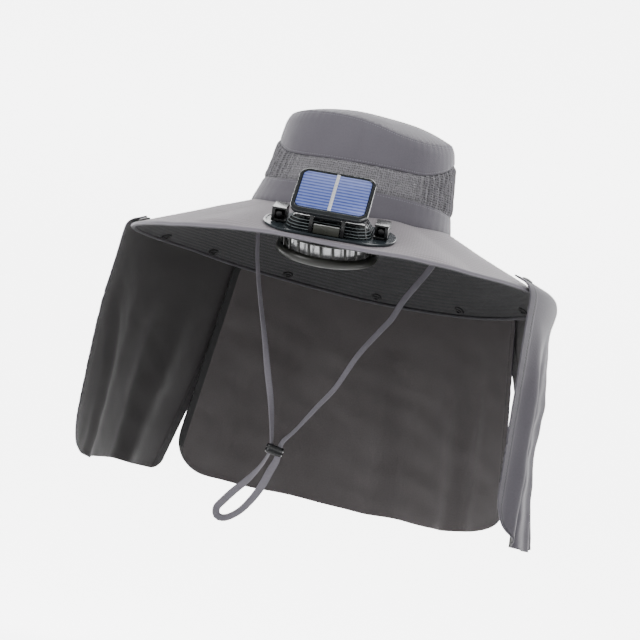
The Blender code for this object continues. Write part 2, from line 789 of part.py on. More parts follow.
def make_fan_cage(frame):
    """The cage under the brim: spigot, top flange, skewed ribs, round foot ring and spokes."""
    flange_top = -BRIM_CLOTH - GAP
    foot = flange_top - CAGE_DEPTH
    inner = SPIGOT_RADIUS - SPIGOT_WALL
    work = bmesh.new()
    turned(
        work,
        (
            (inner, flange_top - CAGE_TOP_WALL),
            (CAGE_RADIUS + CAGE_LEDGE, flange_top - CAGE_TOP_WALL),
            (CAGE_RADIUS + CAGE_LEDGE, flange_top),
            (SPIGOT_RADIUS, flange_top),
            (SPIGOT_RADIUS, -GAP / 2),
            (inner, -GAP / 2),
        ),
        CAGE_STEPS,
    )
    cage = add_object("fan_cage", work, "black_plastic", parent=frame, smooth=40)
    work = bmesh.new()
    ring = [
        (
            CAGE_RADIUS + CAGE_RING_RADIUS * math.cos(math.tau * (i + 0.5) / RING_SIDES),
            foot + CAGE_RING_RADIUS * (1.0 + math.sin(math.tau * (i + 0.5) / RING_SIDES)),
        )
        for i in range(RING_SIDES)
    ]
    turned(work, ring, CAGE_STEPS)
    combine(cage, add_object("cage_ring_tool", work, "black_plastic", parent=frame), "UNION")
    rib_top = flange_top - CAGE_TOP_WALL / 2
    rib_foot = foot + CAGE_RING_RADIUS
    work = bmesh.new()
    for j in range(CAGE_RIBS):
        around_axis = Matrix.Rotation(math.tau * j / CAGE_RIBS, 4, "Z")
        seat = around_axis @ Vector((CAGE_RADIUS, 0.0, (rib_top + rib_foot) / 2))
        turn = around_axis @ Matrix.Rotation(math.radians(CAGE_RIB_SKEW), 4, "X")
        size = (CAGE_RIB_THICKNESS, CAGE_RIB_WIDTH, rib_top - rib_foot + GAP)
        box(work, size, seat, turn)
    combine(cage, add_object("cage_rib_tool", work, "black_plastic", parent=frame), "UNION")
    work = bmesh.new()
    sill = foot + SPOKE_RISE
    level = sill + SPOKE_THICKNESS / 2
    for j in range(SPOKE_COUNT):
        turn = Matrix.Rotation(math.tau * (j + 0.5) / SPOKE_COUNT, 4, "Z")
        reach = CAGE_RADIUS - SPOKE_ROOT
        seat = turn @ Vector((SPOKE_ROOT + reach / 2, 0.0, level))
        box(work, (reach, SPOKE_WIDTH, SPOKE_THICKNESS), seat, turn)
    combine(cage, add_object("cage_spoke_tool", work, "black_plastic", parent=frame), "UNION")
    work = bmesh.new()
    cylinder(
        work,
        MOTOR_RADIUS,
        SPOKE_THICKNESS + MOTOR_HEIGHT,
        (0.0, 0.0, sill + (SPOKE_THICKNESS + MOTOR_HEIGHT) / 2),
        steps=HUB_STEPS,
    )
    combine(cage, add_object("motor_tool", work, "black_plastic", parent=frame), "UNION")
    return sill + SPOKE_THICKNESS + MOTOR_HEIGHT


def make_rotor(frame, seat):
    """The fan's rotor, a shallow hub with pitched blades, on its own empty on the axis."""
    axis = bpy.data.objects.new("rotor_axis", None)
    bpy.context.collection.objects.link(axis)
    axis.parent = frame
    axis.location = (0.0, 0.0, seat + GAP)
    work = bmesh.new()
    cylinder(work, ROTOR_HUB_RADIUS, ROTOR_HEIGHT, (0.0, 0.0, ROTOR_HEIGHT / 2), HUB_STEPS)
    rotor = add_object("fan_rotor", work, "silver_plastic", parent=axis, smooth=40)
    work = bmesh.new()
    pitch = math.radians(BLADE_PITCH)
    chord = (ROTOR_HEIGHT - BLADE_THICKNESS * math.cos(pitch)) / math.sin(pitch)
    span = ROTOR_RADIUS - BLADE_ROOT
    for j in range(BLADE_COUNT):
        around_axis = Matrix.Rotation(math.tau * j / BLADE_COUNT, 4, "Z")
        seat_point = around_axis @ Vector((ROTOR_RADIUS - span / 2, 0.0, ROTOR_HEIGHT / 2))
        turn = around_axis @ Matrix.Rotation(pitch, 4, "X")
        box(work, (span, chord, BLADE_THICKNESS), seat_point, turn)
    combine(rotor, add_object("blade_tool", work, "silver_plastic", parent=axis), "UNION")


def make_guard(frame):
    """The louvred guard over the intake: sill, leaning vanes and a flat lid."""
    floor = GAP * 2 + PLATE_THICKNESS
    length = PLATE_LENGTH - 2 * CLIP_INSET - CLIP_LENGTH - 2 * GUARD_CLEARANCE
    width = GUARD_HALF_WIDTH * 2
    outline = rounded_outline(length, width, GUARD_CORNER, steps=6)
    work = bmesh.new()
    prism(work, outline, floor + GUARD_HEIGHT - GUARD_LID, floor + GUARD_HEIGHT)
    guard = add_object("fan_guard", work, "black_plastic", parent=frame, smooth=40)
    work = bmesh.new()
    prism(work, outline, floor, floor + GUARD_SILL)
    combine(guard, add_object("guard_sill_tool", work, "black_plastic", parent=frame), "UNION")
    work = bmesh.new()
    corner = GUARD_CORNER - VANE_INSET
    path = rounded_outline(length - 2 * VANE_INSET, width - 2 * VANE_INSET, corner, steps=12)
    for j in range(GUARD_VANES):
        here, way = along_loop(path, j / GUARD_VANES)
        turn = Matrix.Rotation(math.atan2(way.y, way.x), 4, "Z")
        turn = turn @ Matrix.Rotation(math.radians(VANE_LEAN), 4, "Y")
        centre = (here.x, here.y, floor + GUARD_HEIGHT / 2)
        reach = (GUARD_HEIGHT - GUARD_LID) / math.cos(math.radians(VANE_LEAN))
        box(work, (VANE_THICKNESS, VANE_DEPTH, reach), centre, turn)
    combine(guard, add_object("guard_vane_tool", work, "black_plastic", parent=frame), "UNION")
    work = bmesh.new()
    cylinder(work, INTAKE_RADIUS, GUARD_SILL * 3, (0.0, 0.0, floor), steps=BORE_STEPS)
    combine(guard, add_object("guard_bore", work, "black_plastic", parent=frame), "DIFFERENCE")


def along_loop(points, share):
    """The point at a share of a closed outline's length, and the way it runs there."""
    loop = [Vector(p) for p in points]
    steps = [(loop[(i + 1) % len(loop)] - p).length for i, p in enumerate(loop)]
    target = share * sum(steps)
    for i, step in enumerate(steps):
        if target <= step:
            there = loop[(i + 1) % len(loop)]
            return loop[i].lerp(there, target / step), there - loop[i]
        target -= step
    return loop[0], loop[1] - loop[0]


def make_clips(frame):
    """The two side clips that stand on the plate's ends."""
    floor = GAP * 2 + PLATE_THICKNESS
    for name, side in (("fan_clip_right", -1), ("fan_clip_left", 1)):
        work = bmesh.new()
        centre = (side * (PLATE_LENGTH / 2 - CLIP_INSET), 0.0)
        outline = rounded_outline(CLIP_LENGTH, CLIP_WIDTH, CLIP_CORNER, steps=3, centre=centre)
        prism(work, outline, floor, floor + CLIP_HEIGHT)
        add_object(name, work, "black_plastic", parent=frame, smooth=40)


def pivot_forward():
    """How far the panel's pivot lies ahead of the fan's axis: just clear of the guard."""
    return GUARD_HALF_WIDTH + GAP + POST_WIDTH / 2


def make_pivot_posts(frame):
    """Two posts with a fixed pin between them, and the smoked cover that fills their foot."""
    floor = GAP * 2 + PLATE_THICKNESS
    ahead = pivot_forward()
    work = bmesh.new()
    head = floor + PIVOT_HEIGHT + POST_HEAD
    side_size = (POST_LENGTH, POST_WIDTH, head - floor)
    box(work, side_size, (-POST_SPREAD, -ahead, (head + floor) / 2))
    posts = add_object("pivot_posts", work, "black_plastic", parent=frame)
    work = bmesh.new()
    box(work, side_size, (POST_SPREAD, -ahead, (head + floor) / 2))
    combine(posts, add_object("post_tool", work, "black_plastic", parent=frame), "UNION")
    work = bmesh.new()
    cylinder(
        work,
        PIN_RADIUS,
        POST_SPREAD * 2,
        (0.0, -ahead, floor + PIVOT_HEIGHT),
        steps=PIN_STEPS,
        turn=Matrix.Rotation(math.radians(90.0), 4, "Y"),
    )
    combine(posts, add_object("pin_tool", work, "steel", parent=frame), "UNION")
    work = bmesh.new()
    box(
        work,
        (COVER_LENGTH, COVER_WIDTH, COVER_HEIGHT),
        (0.0, -ahead - COVER_FORWARD, floor + COVER_HEIGHT / 2),
    )
    add_object("fan_cover", work, "smoked_plastic", parent=frame)


def make_solar_panel(frame):
    """The solar panel on its pivot: frame with a recess, cell, busbar and a knuckle below."""
    floor = GAP * 2 + PLATE_THICKNESS
    axis = bpy.data.objects.new("panel_axis", None)
    bpy.context.collection.objects.link(axis)
    axis.parent = frame
    axis.location = (0.0, -pivot_forward(), floor + PIVOT_HEIGHT)
    axis.rotation_euler = (math.radians(PANEL_TILT), 0.0, 0.0)
    low = math.hypot(POST_WIDTH / 2, POST_HEAD) + GAP
    high = low + PANEL_THICKNESS
    front = -PANEL_FOOT_RIM / 2
    middle = front + PANEL_DEPTH / 2
    work = bmesh.new()
    prism(
        work,
        rounded_outline(PANEL_LENGTH, PANEL_DEPTH, PANEL_CORNER, centre=(0.0, middle)),
        low,
        high,
    )
    panel = add_object("solar_frame", work, "black_plastic", parent=axis, smooth=40)
    knuckle_length = (POST_SPREAD - POST_LENGTH / 2 - RUNNING_GAP) * 2
    work = bmesh.new()
    half_turn = [math.pi * (1.0 + i / KNUCKLE_STEPS) for i in range(KNUCKLE_STEPS + 1)]
    section = [(KNUCKLE_RADIUS * math.cos(a), KNUCKLE_RADIUS * math.sin(a)) for a in half_turn]
    section += [(KNUCKLE_RADIUS, low + KNUCKLE_SINK), (-KNUCKLE_RADIUS, low + KNUCKLE_SINK)]
    lengthwise = Matrix(((0, 0, 1, 0), (1, 0, 0, 0), (0, 1, 0, 0), (0, 0, 0, 1)))
    prism(work, section, -knuckle_length / 2, knuckle_length / 2, lengthwise)
    combine(panel, add_object("knuckle_tool", work, "black_plastic", parent=axis), "UNION")
    work = bmesh.new()
    cylinder(
        work,
        PIN_RADIUS + GAP,
        POST_SPREAD * 3,
        (0.0, 0.0, 0.0),
        steps=PIN_STEPS,
        turn=Matrix.Rotation(math.radians(90.0), 4, "Y"),
    )
    combine(panel, add_object("knuckle_bore", work, "black_plastic", parent=axis), "DIFFERENCE")
    cell_depth = PANEL_DEPTH - PANEL_RIM - PANEL_FOOT_RIM
    cell_middle = front + PANEL_FOOT_RIM + cell_depth / 2
    recess = rounded_outline(
        PANEL_LENGTH - 2 * PANEL_RIM,
        cell_depth,
        PANEL_CORNER - PANEL_RIM,
        centre=(0.0, cell_middle),
    )
    work = bmesh.new()
    prism(work, recess, high - CELL_RECESS, high + CELL_RECESS)
    combine(panel, add_object("recess_cutter", work, "black_plastic", parent=axis), "DIFFERENCE")
    work = bmesh.new()
    cell = rounded_outline(
        PANEL_LENGTH - 2 * PANEL_RIM - 2 * GAP,
        cell_depth - 2 * GAP,
        PANEL_CORNER - PANEL_RIM - GAP,
        centre=(0.0, cell_middle),
    )
    cell_floor = high - CELL_RECESS + GAP
    prism(work, cell, cell_floor, cell_floor + CELL_THICKNESS)
    add_object("solar_cell", work, "solar_cell", parent=axis, smooth=40)
    work = bmesh.new()
    box(
        work,
        (BUSBAR_WIDTH, cell_depth, BUSBAR_THICKNESS),
        (0.0, cell_middle, cell_floor + CELL_THICKNESS + GAP + BUSBAR_THICKNESS / 2),
    )
    add_object("solar_busbar", work, "tinned_busbar", parent=axis)


def main():
    for old in list(bpy.context.scene.objects):
        bpy.data.objects.remove(old)
    fan_frame = make_fan_frame()
    make_crown()
    make_brim(fan_frame)
    make_brim_binding()
    for panel in FLAP_PANELS:
        make_flap(panel)
    make_studs()
    make_chin_cord()
    make_cord_toggle()
    make_fan_plate(fan_frame)
    make_rotor(fan_frame, make_fan_cage(fan_frame))
    make_guard(fan_frame)
    make_clips(fan_frame)
    make_pivot_posts(fan_frame)
    make_solar_panel(fan_frame)


main()
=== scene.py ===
"""Dressed model of a wide-brimmed sun hat with a neck flap, a chin cord and a solar fan.

Metres, +Z up. The front of the hat looks along -Y, and +X is the hat's own left. Angles round
the hat are in degrees from the front, positive towards +X.
"""

import math

import bmesh
import bpy
from mathutils import Matrix, Vector, noise


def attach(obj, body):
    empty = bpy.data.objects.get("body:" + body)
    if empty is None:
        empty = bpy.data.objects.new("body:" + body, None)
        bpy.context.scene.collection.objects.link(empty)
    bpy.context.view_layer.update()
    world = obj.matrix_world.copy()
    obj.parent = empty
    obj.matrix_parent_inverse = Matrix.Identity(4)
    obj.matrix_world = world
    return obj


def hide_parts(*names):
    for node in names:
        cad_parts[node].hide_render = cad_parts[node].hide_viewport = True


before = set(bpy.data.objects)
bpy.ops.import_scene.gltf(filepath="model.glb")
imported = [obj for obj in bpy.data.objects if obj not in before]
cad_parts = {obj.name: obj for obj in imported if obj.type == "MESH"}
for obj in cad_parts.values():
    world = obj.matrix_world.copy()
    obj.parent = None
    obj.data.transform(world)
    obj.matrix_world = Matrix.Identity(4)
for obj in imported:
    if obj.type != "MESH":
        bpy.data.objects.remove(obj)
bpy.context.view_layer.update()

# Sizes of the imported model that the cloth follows
CROWN_HALF_WIDTH = 0.095
CROWN_HALF_DEPTH = 0.100
CROWN_HEIGHT = 0.085
DOME_RISE = 0.013
DOME_ROUNDNESS = 2.4
SHOULDER_DRAW = 0.0026
SHOULDER_HEIGHT = 0.0100
CROWN_LEAN = 0.0045
CROWN_TUCK = 0.0026
CROWN_WALL = 0.0009
SEAM_RADIUS = 0.098
BAND_RADIUS = 0.094
TOP_RADIUS = 0.085
FRONT_DIP = 0.004
BRIM_REACH = 0.106
BRIM_DROP = 0.045
BRIM_CLOTH = 0.0021
QUILT_PITCH = 0.0046
BINDING_WIDTH = 0.0046
BINDING_DEPTH = 0.0038
FLAT_HALF_ANGLE = 18.0
FLAT_FADE = 26.0
FLAP_DROP = 0.222
FLAP_LIP = 0.013
FLAP_LAYER = 0.0032
FLAP_CLOTH = 0.0012
FLAP_HEM = 0.0078
GAP = 0.0003
STUD_DIAMETER = 0.0105
STUD_HEIGHT = 0.0022
STUD_INSET = 0.0105
FAN_REACH = 0.062
PLATE_LENGTH = 0.114
PLATE_WIDTH = 0.060
PLATE_THICKNESS = 0.0022
SPIGOT_RADIUS = 0.0215
CAGE_RADIUS = 0.0397
CAGE_FLANGE = 0.0433
CAGE_DEPTH = 0.0195
CAGE_RING_RADIUS = 0.0042
CAGE_RIBS = 24
GUARD_HALF_WIDTH = 0.0220
GUARD_HALF_LENGTH = 0.0365
GUARD_HEIGHT = 0.0105
GUARD_CORNER = 0.0136
CLIP_LENGTH = 0.0120
CLIP_WIDTH = 0.0200
CLIP_HEIGHT = 0.0122
CLIP_REACH = 0.0440
COVER_LENGTH = 0.0222
COVER_WIDTH = 0.0036
COVER_HEIGHT = 0.0076
POST_LENGTH = 0.0032
POST_WIDTH = 0.0050
POST_HEAD = 0.0021
POST_SPREAD = 0.0135
PIVOT_HEIGHT = 0.0148
PANEL_LENGTH = 0.0660
PANEL_DEPTH = 0.0500
PANEL_THICKNESS = 0.0046
PANEL_CORNER = 0.0085
PANEL_RIM = 0.0034
PANEL_FOOT_RIM = 0.0058
PANEL_SAG = 0.0030
PANEL_TILT = 30.0
CELL_RECESS = 0.0012
BUSBAR_WIDTH = 0.0028
ROTOR_RADIUS = 0.0345
ROTOR_HUB_RADIUS = 0.0115
ROTOR_FOOT = -0.0150
ROTOR_HEIGHT = 0.0096

CROWN_SECTION = (
    # height, width, lean
    (-0.10, 0.996, 0.00),
    (0.00, 1.000, 0.00),
    (0.12, 0.976, 0.25),
    (0.39, 0.925, 0.75),
    (0.71, 0.884, 1.00),
    (1.05, 0.818, 0.95),
)
CROWN_SEAMS = (
    # angle, mesh foot, mesh head, top seam
    (-180, 0.24, 0.78, 1.00),
    (-120, 0.25, 0.78, 1.00),
    (-85, 0.25, 0.73, 1.00),
    (-65, 0.25, 0.62, 1.01),
    (-45, 0.24, 0.53, 1.02),
    (-12, 0.24, 0.515, 1.01),
    (10, 0.24, 0.515, 0.96),
    (25, 0.24, 0.515, 0.91),
    (45, 0.23, 0.53, 0.89),
    (65, 0.21, 0.63, 0.92),
    (85, 0.18, 0.76, 0.97),
    (120, 0.20, 0.78, 1.00),
)
BRIM_HEM = (
    # angle, reach, drop
    (-180, 0.915, 1.54),
    (-157, 0.925, 1.41),
    (-141, 0.940, 1.31),
    (-120, 0.965, 1.14),
    (-80, 1.000, 1.00),
    (-45, 1.020, 0.88),
    (0, 1.038, 0.79),
    (45, 1.020, 0.88),
    (80, 1.000, 1.02),
    (122, 0.965, 1.40),
    (142, 0.940, 1.53),
    (165, 0.920, 1.57),
)
HEM_CURL = (
    # angle, rise of the hem
    (-180, 0.0000),
    (-60, 0.0000),
    (-42, 0.0006),
    (-31, -0.0030),
    (-23, -0.0018),
    (-11, 0.0034),
    (0, 0.0034),
    (10, 0.0022),
    (18, 0.0006),
    (27, -0.0017),
    (36, 0.0006),
    (43, 0.0033),
    (54, 0.0028),
    (72, 0.0000),
    (120, 0.0000),
)
FLAP_PANELS = {
    # edges at the brim, edges at the foot, flare, width and height of the two foot corners, layer
    "flap_right": (
        (-148.0, -77.0), (-131.5, -78.0), (0.080, 0.075), ((0.011, 0.011), (0.056, 0.046)), 1
    ),
    "flap_rear": (
        (122.0, 219.0), (116.5, 227.5), (0.075, 0.040), ((0.110, 0.030), (0.055, 0.042)), 0
    ),
    "flap_left": (
        (58.0, 129.0), (57.0, 102.0), (0.036, 0.105), ((0.049, 0.049), (0.085, 0.070)), 1
    ),
}
# How far each panel swings out as it falls: share across, then at four falls from hem to foot
FLAP_SWAY = {
    "flap_right": (
        (0.00, 0.000, 0.000, 0.000, 0.000),
        (0.55, 0.000, 0.000, -0.003, -0.005),
        (0.78, -0.002, -0.008, -0.016, -0.013),
        (0.90, 0.000, -0.001, -0.005, -0.007),
        (1.00, 0.001, 0.003, 0.001, -0.004),
    ),
    "flap_rear": (
        (0.00, 0.000, 0.000, 0.000, 0.000),
        (0.50, 0.000, 0.000, 0.000, 0.000),
        (1.00, 0.000, 0.000, 0.000, 0.000),
    ),
    "flap_left": (
        (0.00, 0.000, 0.000, 0.000, 0.000),
        (0.25, -0.002, -0.002, -0.003, 0.000),
        (0.55, -0.007, -0.006, -0.011, -0.002),
        (0.72, -0.006, -0.005, -0.010, -0.003),
        (0.88, 0.000, 0.000, -0.003, -0.002),
        (1.00, 0.001, 0.001, 0.000, 0.000),
    ),
}
SWAY_FALLS = (0.0, 0.12, 0.32, 0.60, 1.0)
STUD_ANGLES = (-69.0, -105.5, -129.0, -157.0, 172.5, 142.5, 111.0, 64.0)
CORD_ROUTE = (
    (-0.0897, -0.0060, 0.0040),
    (-0.0898, -0.0062, -0.0060),
    (-0.0875, -0.0070, -0.0160),
    (-0.0835, -0.0080, -0.0290),
    (-0.0787, -0.0110, -0.0552),
    (-0.0695, -0.0150, -0.0881),
    (-0.0576, -0.0190, -0.1251),
    (-0.0496, -0.0220, -0.1521),
    (-0.0395, -0.0260, -0.1843),
    (-0.0330, -0.0290, -0.2130),
    (-0.0318, -0.0300, -0.2263),
    (-0.0349, -0.0310, -0.2375),
    (-0.0411, -0.0330, -0.2490),
    (-0.0489, -0.0350, -0.2600),
    (-0.0575, -0.0370, -0.2700),
    (-0.0650, -0.0385, -0.2800),
    (-0.0700, -0.0400, -0.2880),
    (-0.0676, -0.0410, -0.2950),
    (-0.0595, -0.0410, -0.2950),
    (-0.0490, -0.0400, -0.2875),
    (-0.0406, -0.0380, -0.2762),
    (-0.0331, -0.0360, -0.2617),
    (-0.0275, -0.0330, -0.2450),
    (-0.0240, -0.0310, -0.2350),
    (-0.0236, -0.0300, -0.2263),
    (-0.0215, -0.0292, -0.2170),
    (-0.0124, -0.0280, -0.2050),
    (0.0042, -0.0250, -0.1789),
    (0.0172, -0.0220, -0.1585),
    (0.0313, -0.0180, -0.1266),
    (0.0472, -0.0140, -0.1005),
    (0.0564, -0.0120, -0.0860),
    (0.0640, -0.0100, -0.0673),
    (0.0830, -0.0070, -0.0333),
    (0.0885, -0.0060, -0.0160),
    (0.0906, -0.0060, -0.0060),
    (0.0908, -0.0060, 0.0040),
)

# How the flat tape of the chin cord turns: share of its length, width, turn away from the front
TAPE_TURNS = (
    (0.00, 0.0058, 70.0),
    (0.10, 0.0058, 62.0),
    (0.18, 0.0058, 52.0),
    (0.26, 0.0060, 12.0),
    (0.33, 0.0058, 60.0),
    (0.37, 0.0054, 68.0),
    (0.43, 0.0072, 20.0),
    (0.50, 0.0076, 40.0),
    (0.58, 0.0076, 15.0),
    (0.64, 0.0056, 55.0),
    (0.70, 0.0056, 38.0),
    (0.82, 0.0060, 30.0),
    (0.92, 0.0064, 20.0),
    (1.00, 0.0064, 40.0),
)
TAPE_THICKNESS = 0.0014

# Creases of each flap: place across at the hem, drift down to the foot, width, depth, start
FLAP_CREASES = {
    "flap_right": (
        (0.20, 0.04, 0.060, -0.0040, 0.10),
        (0.42, -0.10, 0.050, 0.0030, 0.15),
        (0.90, -0.10, 0.040, 0.0030, 0.25),
        (0.96, -0.22, 0.040, -0.0030, 0.45),
    ),
    "flap_rear": (
        (0.14, 0.02, 0.030, 0.0050, 0.05),
        (0.22, -0.02, 0.030, -0.0060, 0.10),
        (0.33, 0.05, 0.050, 0.0060, 0.20),
        (0.46, -0.03, 0.050, -0.0075, 0.10),
        (0.60, 0.05, 0.060, 0.0060, 0.20),
        (0.74, 0.02, 0.050, -0.0060, 0.10),
        (0.88, -0.02, 0.040, 0.0050, 0.20),
    ),
    "flap_left": (
        (0.13, 0.02, 0.050, 0.0080, 0.00),
        (0.24, 0.04, 0.030, -0.0045, 0.02),
        (0.36, 0.14, 0.040, 0.0050, 0.04),
        (0.50, 0.10, 0.035, -0.0055, 0.06),
        (0.66, -0.02, 0.050, 0.0040, 0.20),
        (0.84, -0.04, 0.040, -0.0040, 0.10),
    ),
}
FLAP_COLUMNS = 150
FLAP_SEGMENTS = (6, 5, 3, 3, 6, 10, 16, 16, 16, 12, 8)


def smooth_step(x):
    x = min(max(x, 0.0), 1.0)
    return x * x * (3 - 2 * x)


def between(rows, at, column):
    """A smooth curve through one column of a table whose first column rises."""
    index = max(k for k in range(len(rows) - 1) if k == 0 or rows[k][0] <= at)
    start, end = rows[index], rows[index + 1]
    before, after = rows[max(index - 1, 0)], rows[min(index + 2, len(rows) - 1)]
    span = end[0] - start[0]
    slope_in = (end[column] - before[column]) / (end[0] - before[0])
    slope_out = (after[column] - start[column]) / (after[0] - start[0])
    t = min(max((at - start[0]) / span, 0.0), 1.0)
    return (
        (2 * t**3 - 3 * t**2 + 1) * start[column]
        + (t**3 - 2 * t**2 + t) * span * slope_in
        + (3 * t**2 - 2 * t**3) * end[column]
        + (t**3 - t**2) * span * slope_out
    )


def wrapped(angle):
    """The same heading as an angle from -180 to 180 degrees."""
    return (angle + 180.0) % 360.0 - 180.0


def around(rows, angle, column):
    """The same curve for a table of angles, closed round the hat."""
    before = [(row[0] - 360.0, *row[1:]) for row in rows[-2:]]
    after = [(row[0] + 360.0, *row[1:]) for row in rows[:2]]
    return between([*before, *rows, *after], wrapped(angle), column)


def heading(angle):
    return Vector((math.sin(math.radians(angle)), -math.cos(math.radians(angle)), 0.0))


def hem_reach(angle):
    return BRIM_REACH * around(BRIM_HEM, angle, 1)


def hem_drop(angle):
    return BRIM_DROP * around(BRIM_HEM, angle, 2)


FAN_SLOPE = math.atan2(hem_drop(0.0), hem_reach(0.0))


def flat_place(angle):
    """1 on the flat front of the brim, where the fan sits, and 0 away from it."""
    return 1.0 - smooth_step((abs(wrapped(angle)) - FLAT_HALF_ANGLE) / FLAT_FADE)


def brim_point(angle, share):
    """A point of the brim's upper face, from the crown's seam (share 0) to the hem (share 1)."""
    out = heading(angle)
    dip = FRONT_DIP * max(0.0, math.cos(math.radians(angle))) ** 2
    point = Vector((CROWN_HALF_WIDTH * out.x, CROWN_HALF_DEPTH * out.y, -dip))
    point += out * hem_reach(angle) * share
    point.z -= hem_drop(angle) * share
    level = -FRONT_DIP - (-CROWN_HALF_DEPTH - point.y) * math.tan(FAN_SLOPE)
    point.z += (level - point.z) * flat_place(angle)
    return point


def hem_point(angle, share):
    """The brim's upper face as sewn: its last part curls a little up or down, as tabled."""
    point = brim_point(angle, share)
    point.z += around(HEM_CURL, angle, 1) * smooth_step((share - 0.86) / 0.14)
    return point


def crown_point(angle, height):
    """A point of the crown's outer face at a height above the origin."""
    share = height / CROWN_HEIGHT
    width = between(CROWN_SECTION, share, 1)
    out = heading(angle)
    lean = CROWN_LEAN * between(CROWN_SECTION, share, 2)
    across = CROWN_HALF_WIDTH * width * out.x + lean
    return Vector((across, CROWN_HALF_DEPTH * width * out.y, height))


def wander(x, y, seed=0.0):
    """Smooth noise from -1 to 1."""
    return noise.noise(Vector((x, y, seed)))


# ---------------------------------------------------------------- materials


def linear(code):
    """An sRGB hex value as a linear colour."""
    parts = [int(code[i : i + 2], 16) / 255 for i in (1, 3, 5)]
    return (*[p / 12.92 if p <= 0.04045 else ((p + 0.055) / 1.055) ** 2.4 for p in parts], 1.0)


def add_node(tree, kind, inputs=(), output=0, **settings):
    """Add a shader node with its settings and links, and give back one of its outputs."""
    made = tree.nodes.new("ShaderNode" + kind)
    for name, value in settings.items():
        setattr(made, name, value)
    pairs = inputs.items() if isinstance(inputs, dict) else enumerate(inputs)
    for key, value in pairs:
        if isinstance(value, bpy.types.NodeSocket):
            tree.links.new(value, made.inputs[key])
        elif value is not None:
            made.inputs[key].default_value = value
    return made.outputs[output]


def start_material(name, **constants):
    """A material whose shader has its constants set, as (material, tree, shader)."""
    made = bpy.data.materials.new(name)
    made.use_nodes = True
    shader = made.node_tree.nodes["Principled BSDF"]
    for key, value in constants.items():
        shader.inputs[key.replace("_", " ")].default_value = value
    return made, made.node_tree, shader


def blend(tree, share, start, end, **settings):
    """Mix two colours, each a hex value or a node's output."""
    start, end = (linear(c) if isinstance(c, str) else c for c in (start, end))
    inputs = {0: share, 6: start, 7: end}
    return add_node(tree, "Mix", inputs, output=2, data_type="RGBA", **settings)


def lockstitch(tree, off, along, stitch, groove_reach, line_edges):
    """(groove, thread) masks of lockstitch, where off is the distance from its line."""
    groove = add_node(
        tree, "MapRange", (off, 0.0, groove_reach, 1.0, 0.0), interpolation_type="SMOOTHSTEP"
    )
    line = add_node(tree, "MapRange", (off, *line_edges, 1.0, 0.0))
    step = add_node(tree, "Math", (along, stitch / 2), operation="PINGPONG")
    dash = add_node(tree, "MapRange", (step, stitch * 0.10, stitch * 0.18, 0.0, 1.0))
    return groove, add_node(tree, "Math", (line, dash), operation="MULTIPLY")


def stitched_rows(tree, across, along, pitch, stitch):
    """Rows of lockstitch a pitch apart."""
    off = add_node(tree, "Math", (across, pitch / 2), operation="PINGPONG")
    return lockstitch(tree, off, along, stitch, 0.0009, (0.0002, 0.0006))


def hem_stitch(tree, across, along, inset, stitch):
    """One row of lockstitch at an inset from an edge."""
    off = add_node(tree, "Math", (across, inset), operation="SUBTRACT")
    off = add_node(tree, "Math", (off,), operation="ABSOLUTE")
    return lockstitch(tree, off, along, stitch, 0.0013, (0.0003, 0.0007))


def woven_cloth(name, dark, light, thread, stitches=None, weave=0.5, **constants):
    """Woven or knitted cloth on two UV maps in metres: its own plane, and the way from its edge.

    thread is the spacing of the weave. stitches is (kind, pitch or inset, stitch length, colour).
    """
    made, tree, shader = start_material(name, **constants)
    plane = add_node(tree, "UVMap", uv_map="cloth")
    u = add_node(tree, "SeparateXYZ", (plane,))
    v = u.node.outputs["Y"]
    turns = math.tau / thread
    warp = add_node(tree, "Math", (u, turns), operation="MULTIPLY")
    warp = add_node(tree, "Math", (warp,), operation="SINE")
    weft = add_node(tree, "Math", (v, turns), operation="MULTIPLY")
    weft = add_node(tree, "Math", (weft,), operation="SINE")
    cross = add_node(tree, "Math", (warp, weft), operation="MULTIPLY")
    fleck = add_node(tree, "TexNoise", {"Vector": plane, "Scale": 1.0 / 0.0016, "Detail": 3.0})
    patch = add_node(tree, "TexNoise", {"Vector": plane, "Scale": 1.0 / 0.045, "Detail": 2.0})
    tone = add_node(tree, "Math", (cross, 0.16 * weave, 0.0), operation="MULTIPLY_ADD")
    tone = add_node(tree, "Math", (fleck, 0.55, tone), operation="MULTIPLY_ADD")
    tone = add_node(tree, "Math", (patch, 0.45, tone), operation="MULTIPLY_ADD")
    base = blend(tree, tone, dark, light, clamp_factor=True)
    height = add_node(tree, "Math", (cross, 0.5 * weave, 0.0), operation="MULTIPLY_ADD")
    height = add_node(tree, "Math", (fleck, 0.9, height), operation="MULTIPLY_ADD")
    if stitches:
        kind, size, stitch, colour = stitches
        edge = add_node(tree, "UVMap", uv_map="hem")
        along = add_node(tree, "SeparateXYZ", (edge,))
        across = along.node.outputs["Y"]
        rows = stitched_rows if kind == "rows" else hem_stitch
        groove, thread_mask = rows(tree, across, along, size, stitch)
        height = add_node(tree, "Math", (groove, -1.6, height), operation="MULTIPLY_ADD")
        height = add_node(tree, "Math", (thread_mask, 2.2, height), operation="MULTIPLY_ADD")
        # Painted shade: the stitch grooves are darkened towards black
        shade = add_node(tree, "Math", (groove, 0.30), operation="MULTIPLY")
        base = blend(tree, shade, base, "#000000")
        base = blend(tree, thread_mask, base, colour)
    bump = add_node(tree, "Bump", {"Strength": 0.55, "Distance": 0.00025, "Height": height})
    tree.links.new(base, shader.inputs["Base Color"])
    tree.links.new(bump, shader.inputs["Normal"])
    return made


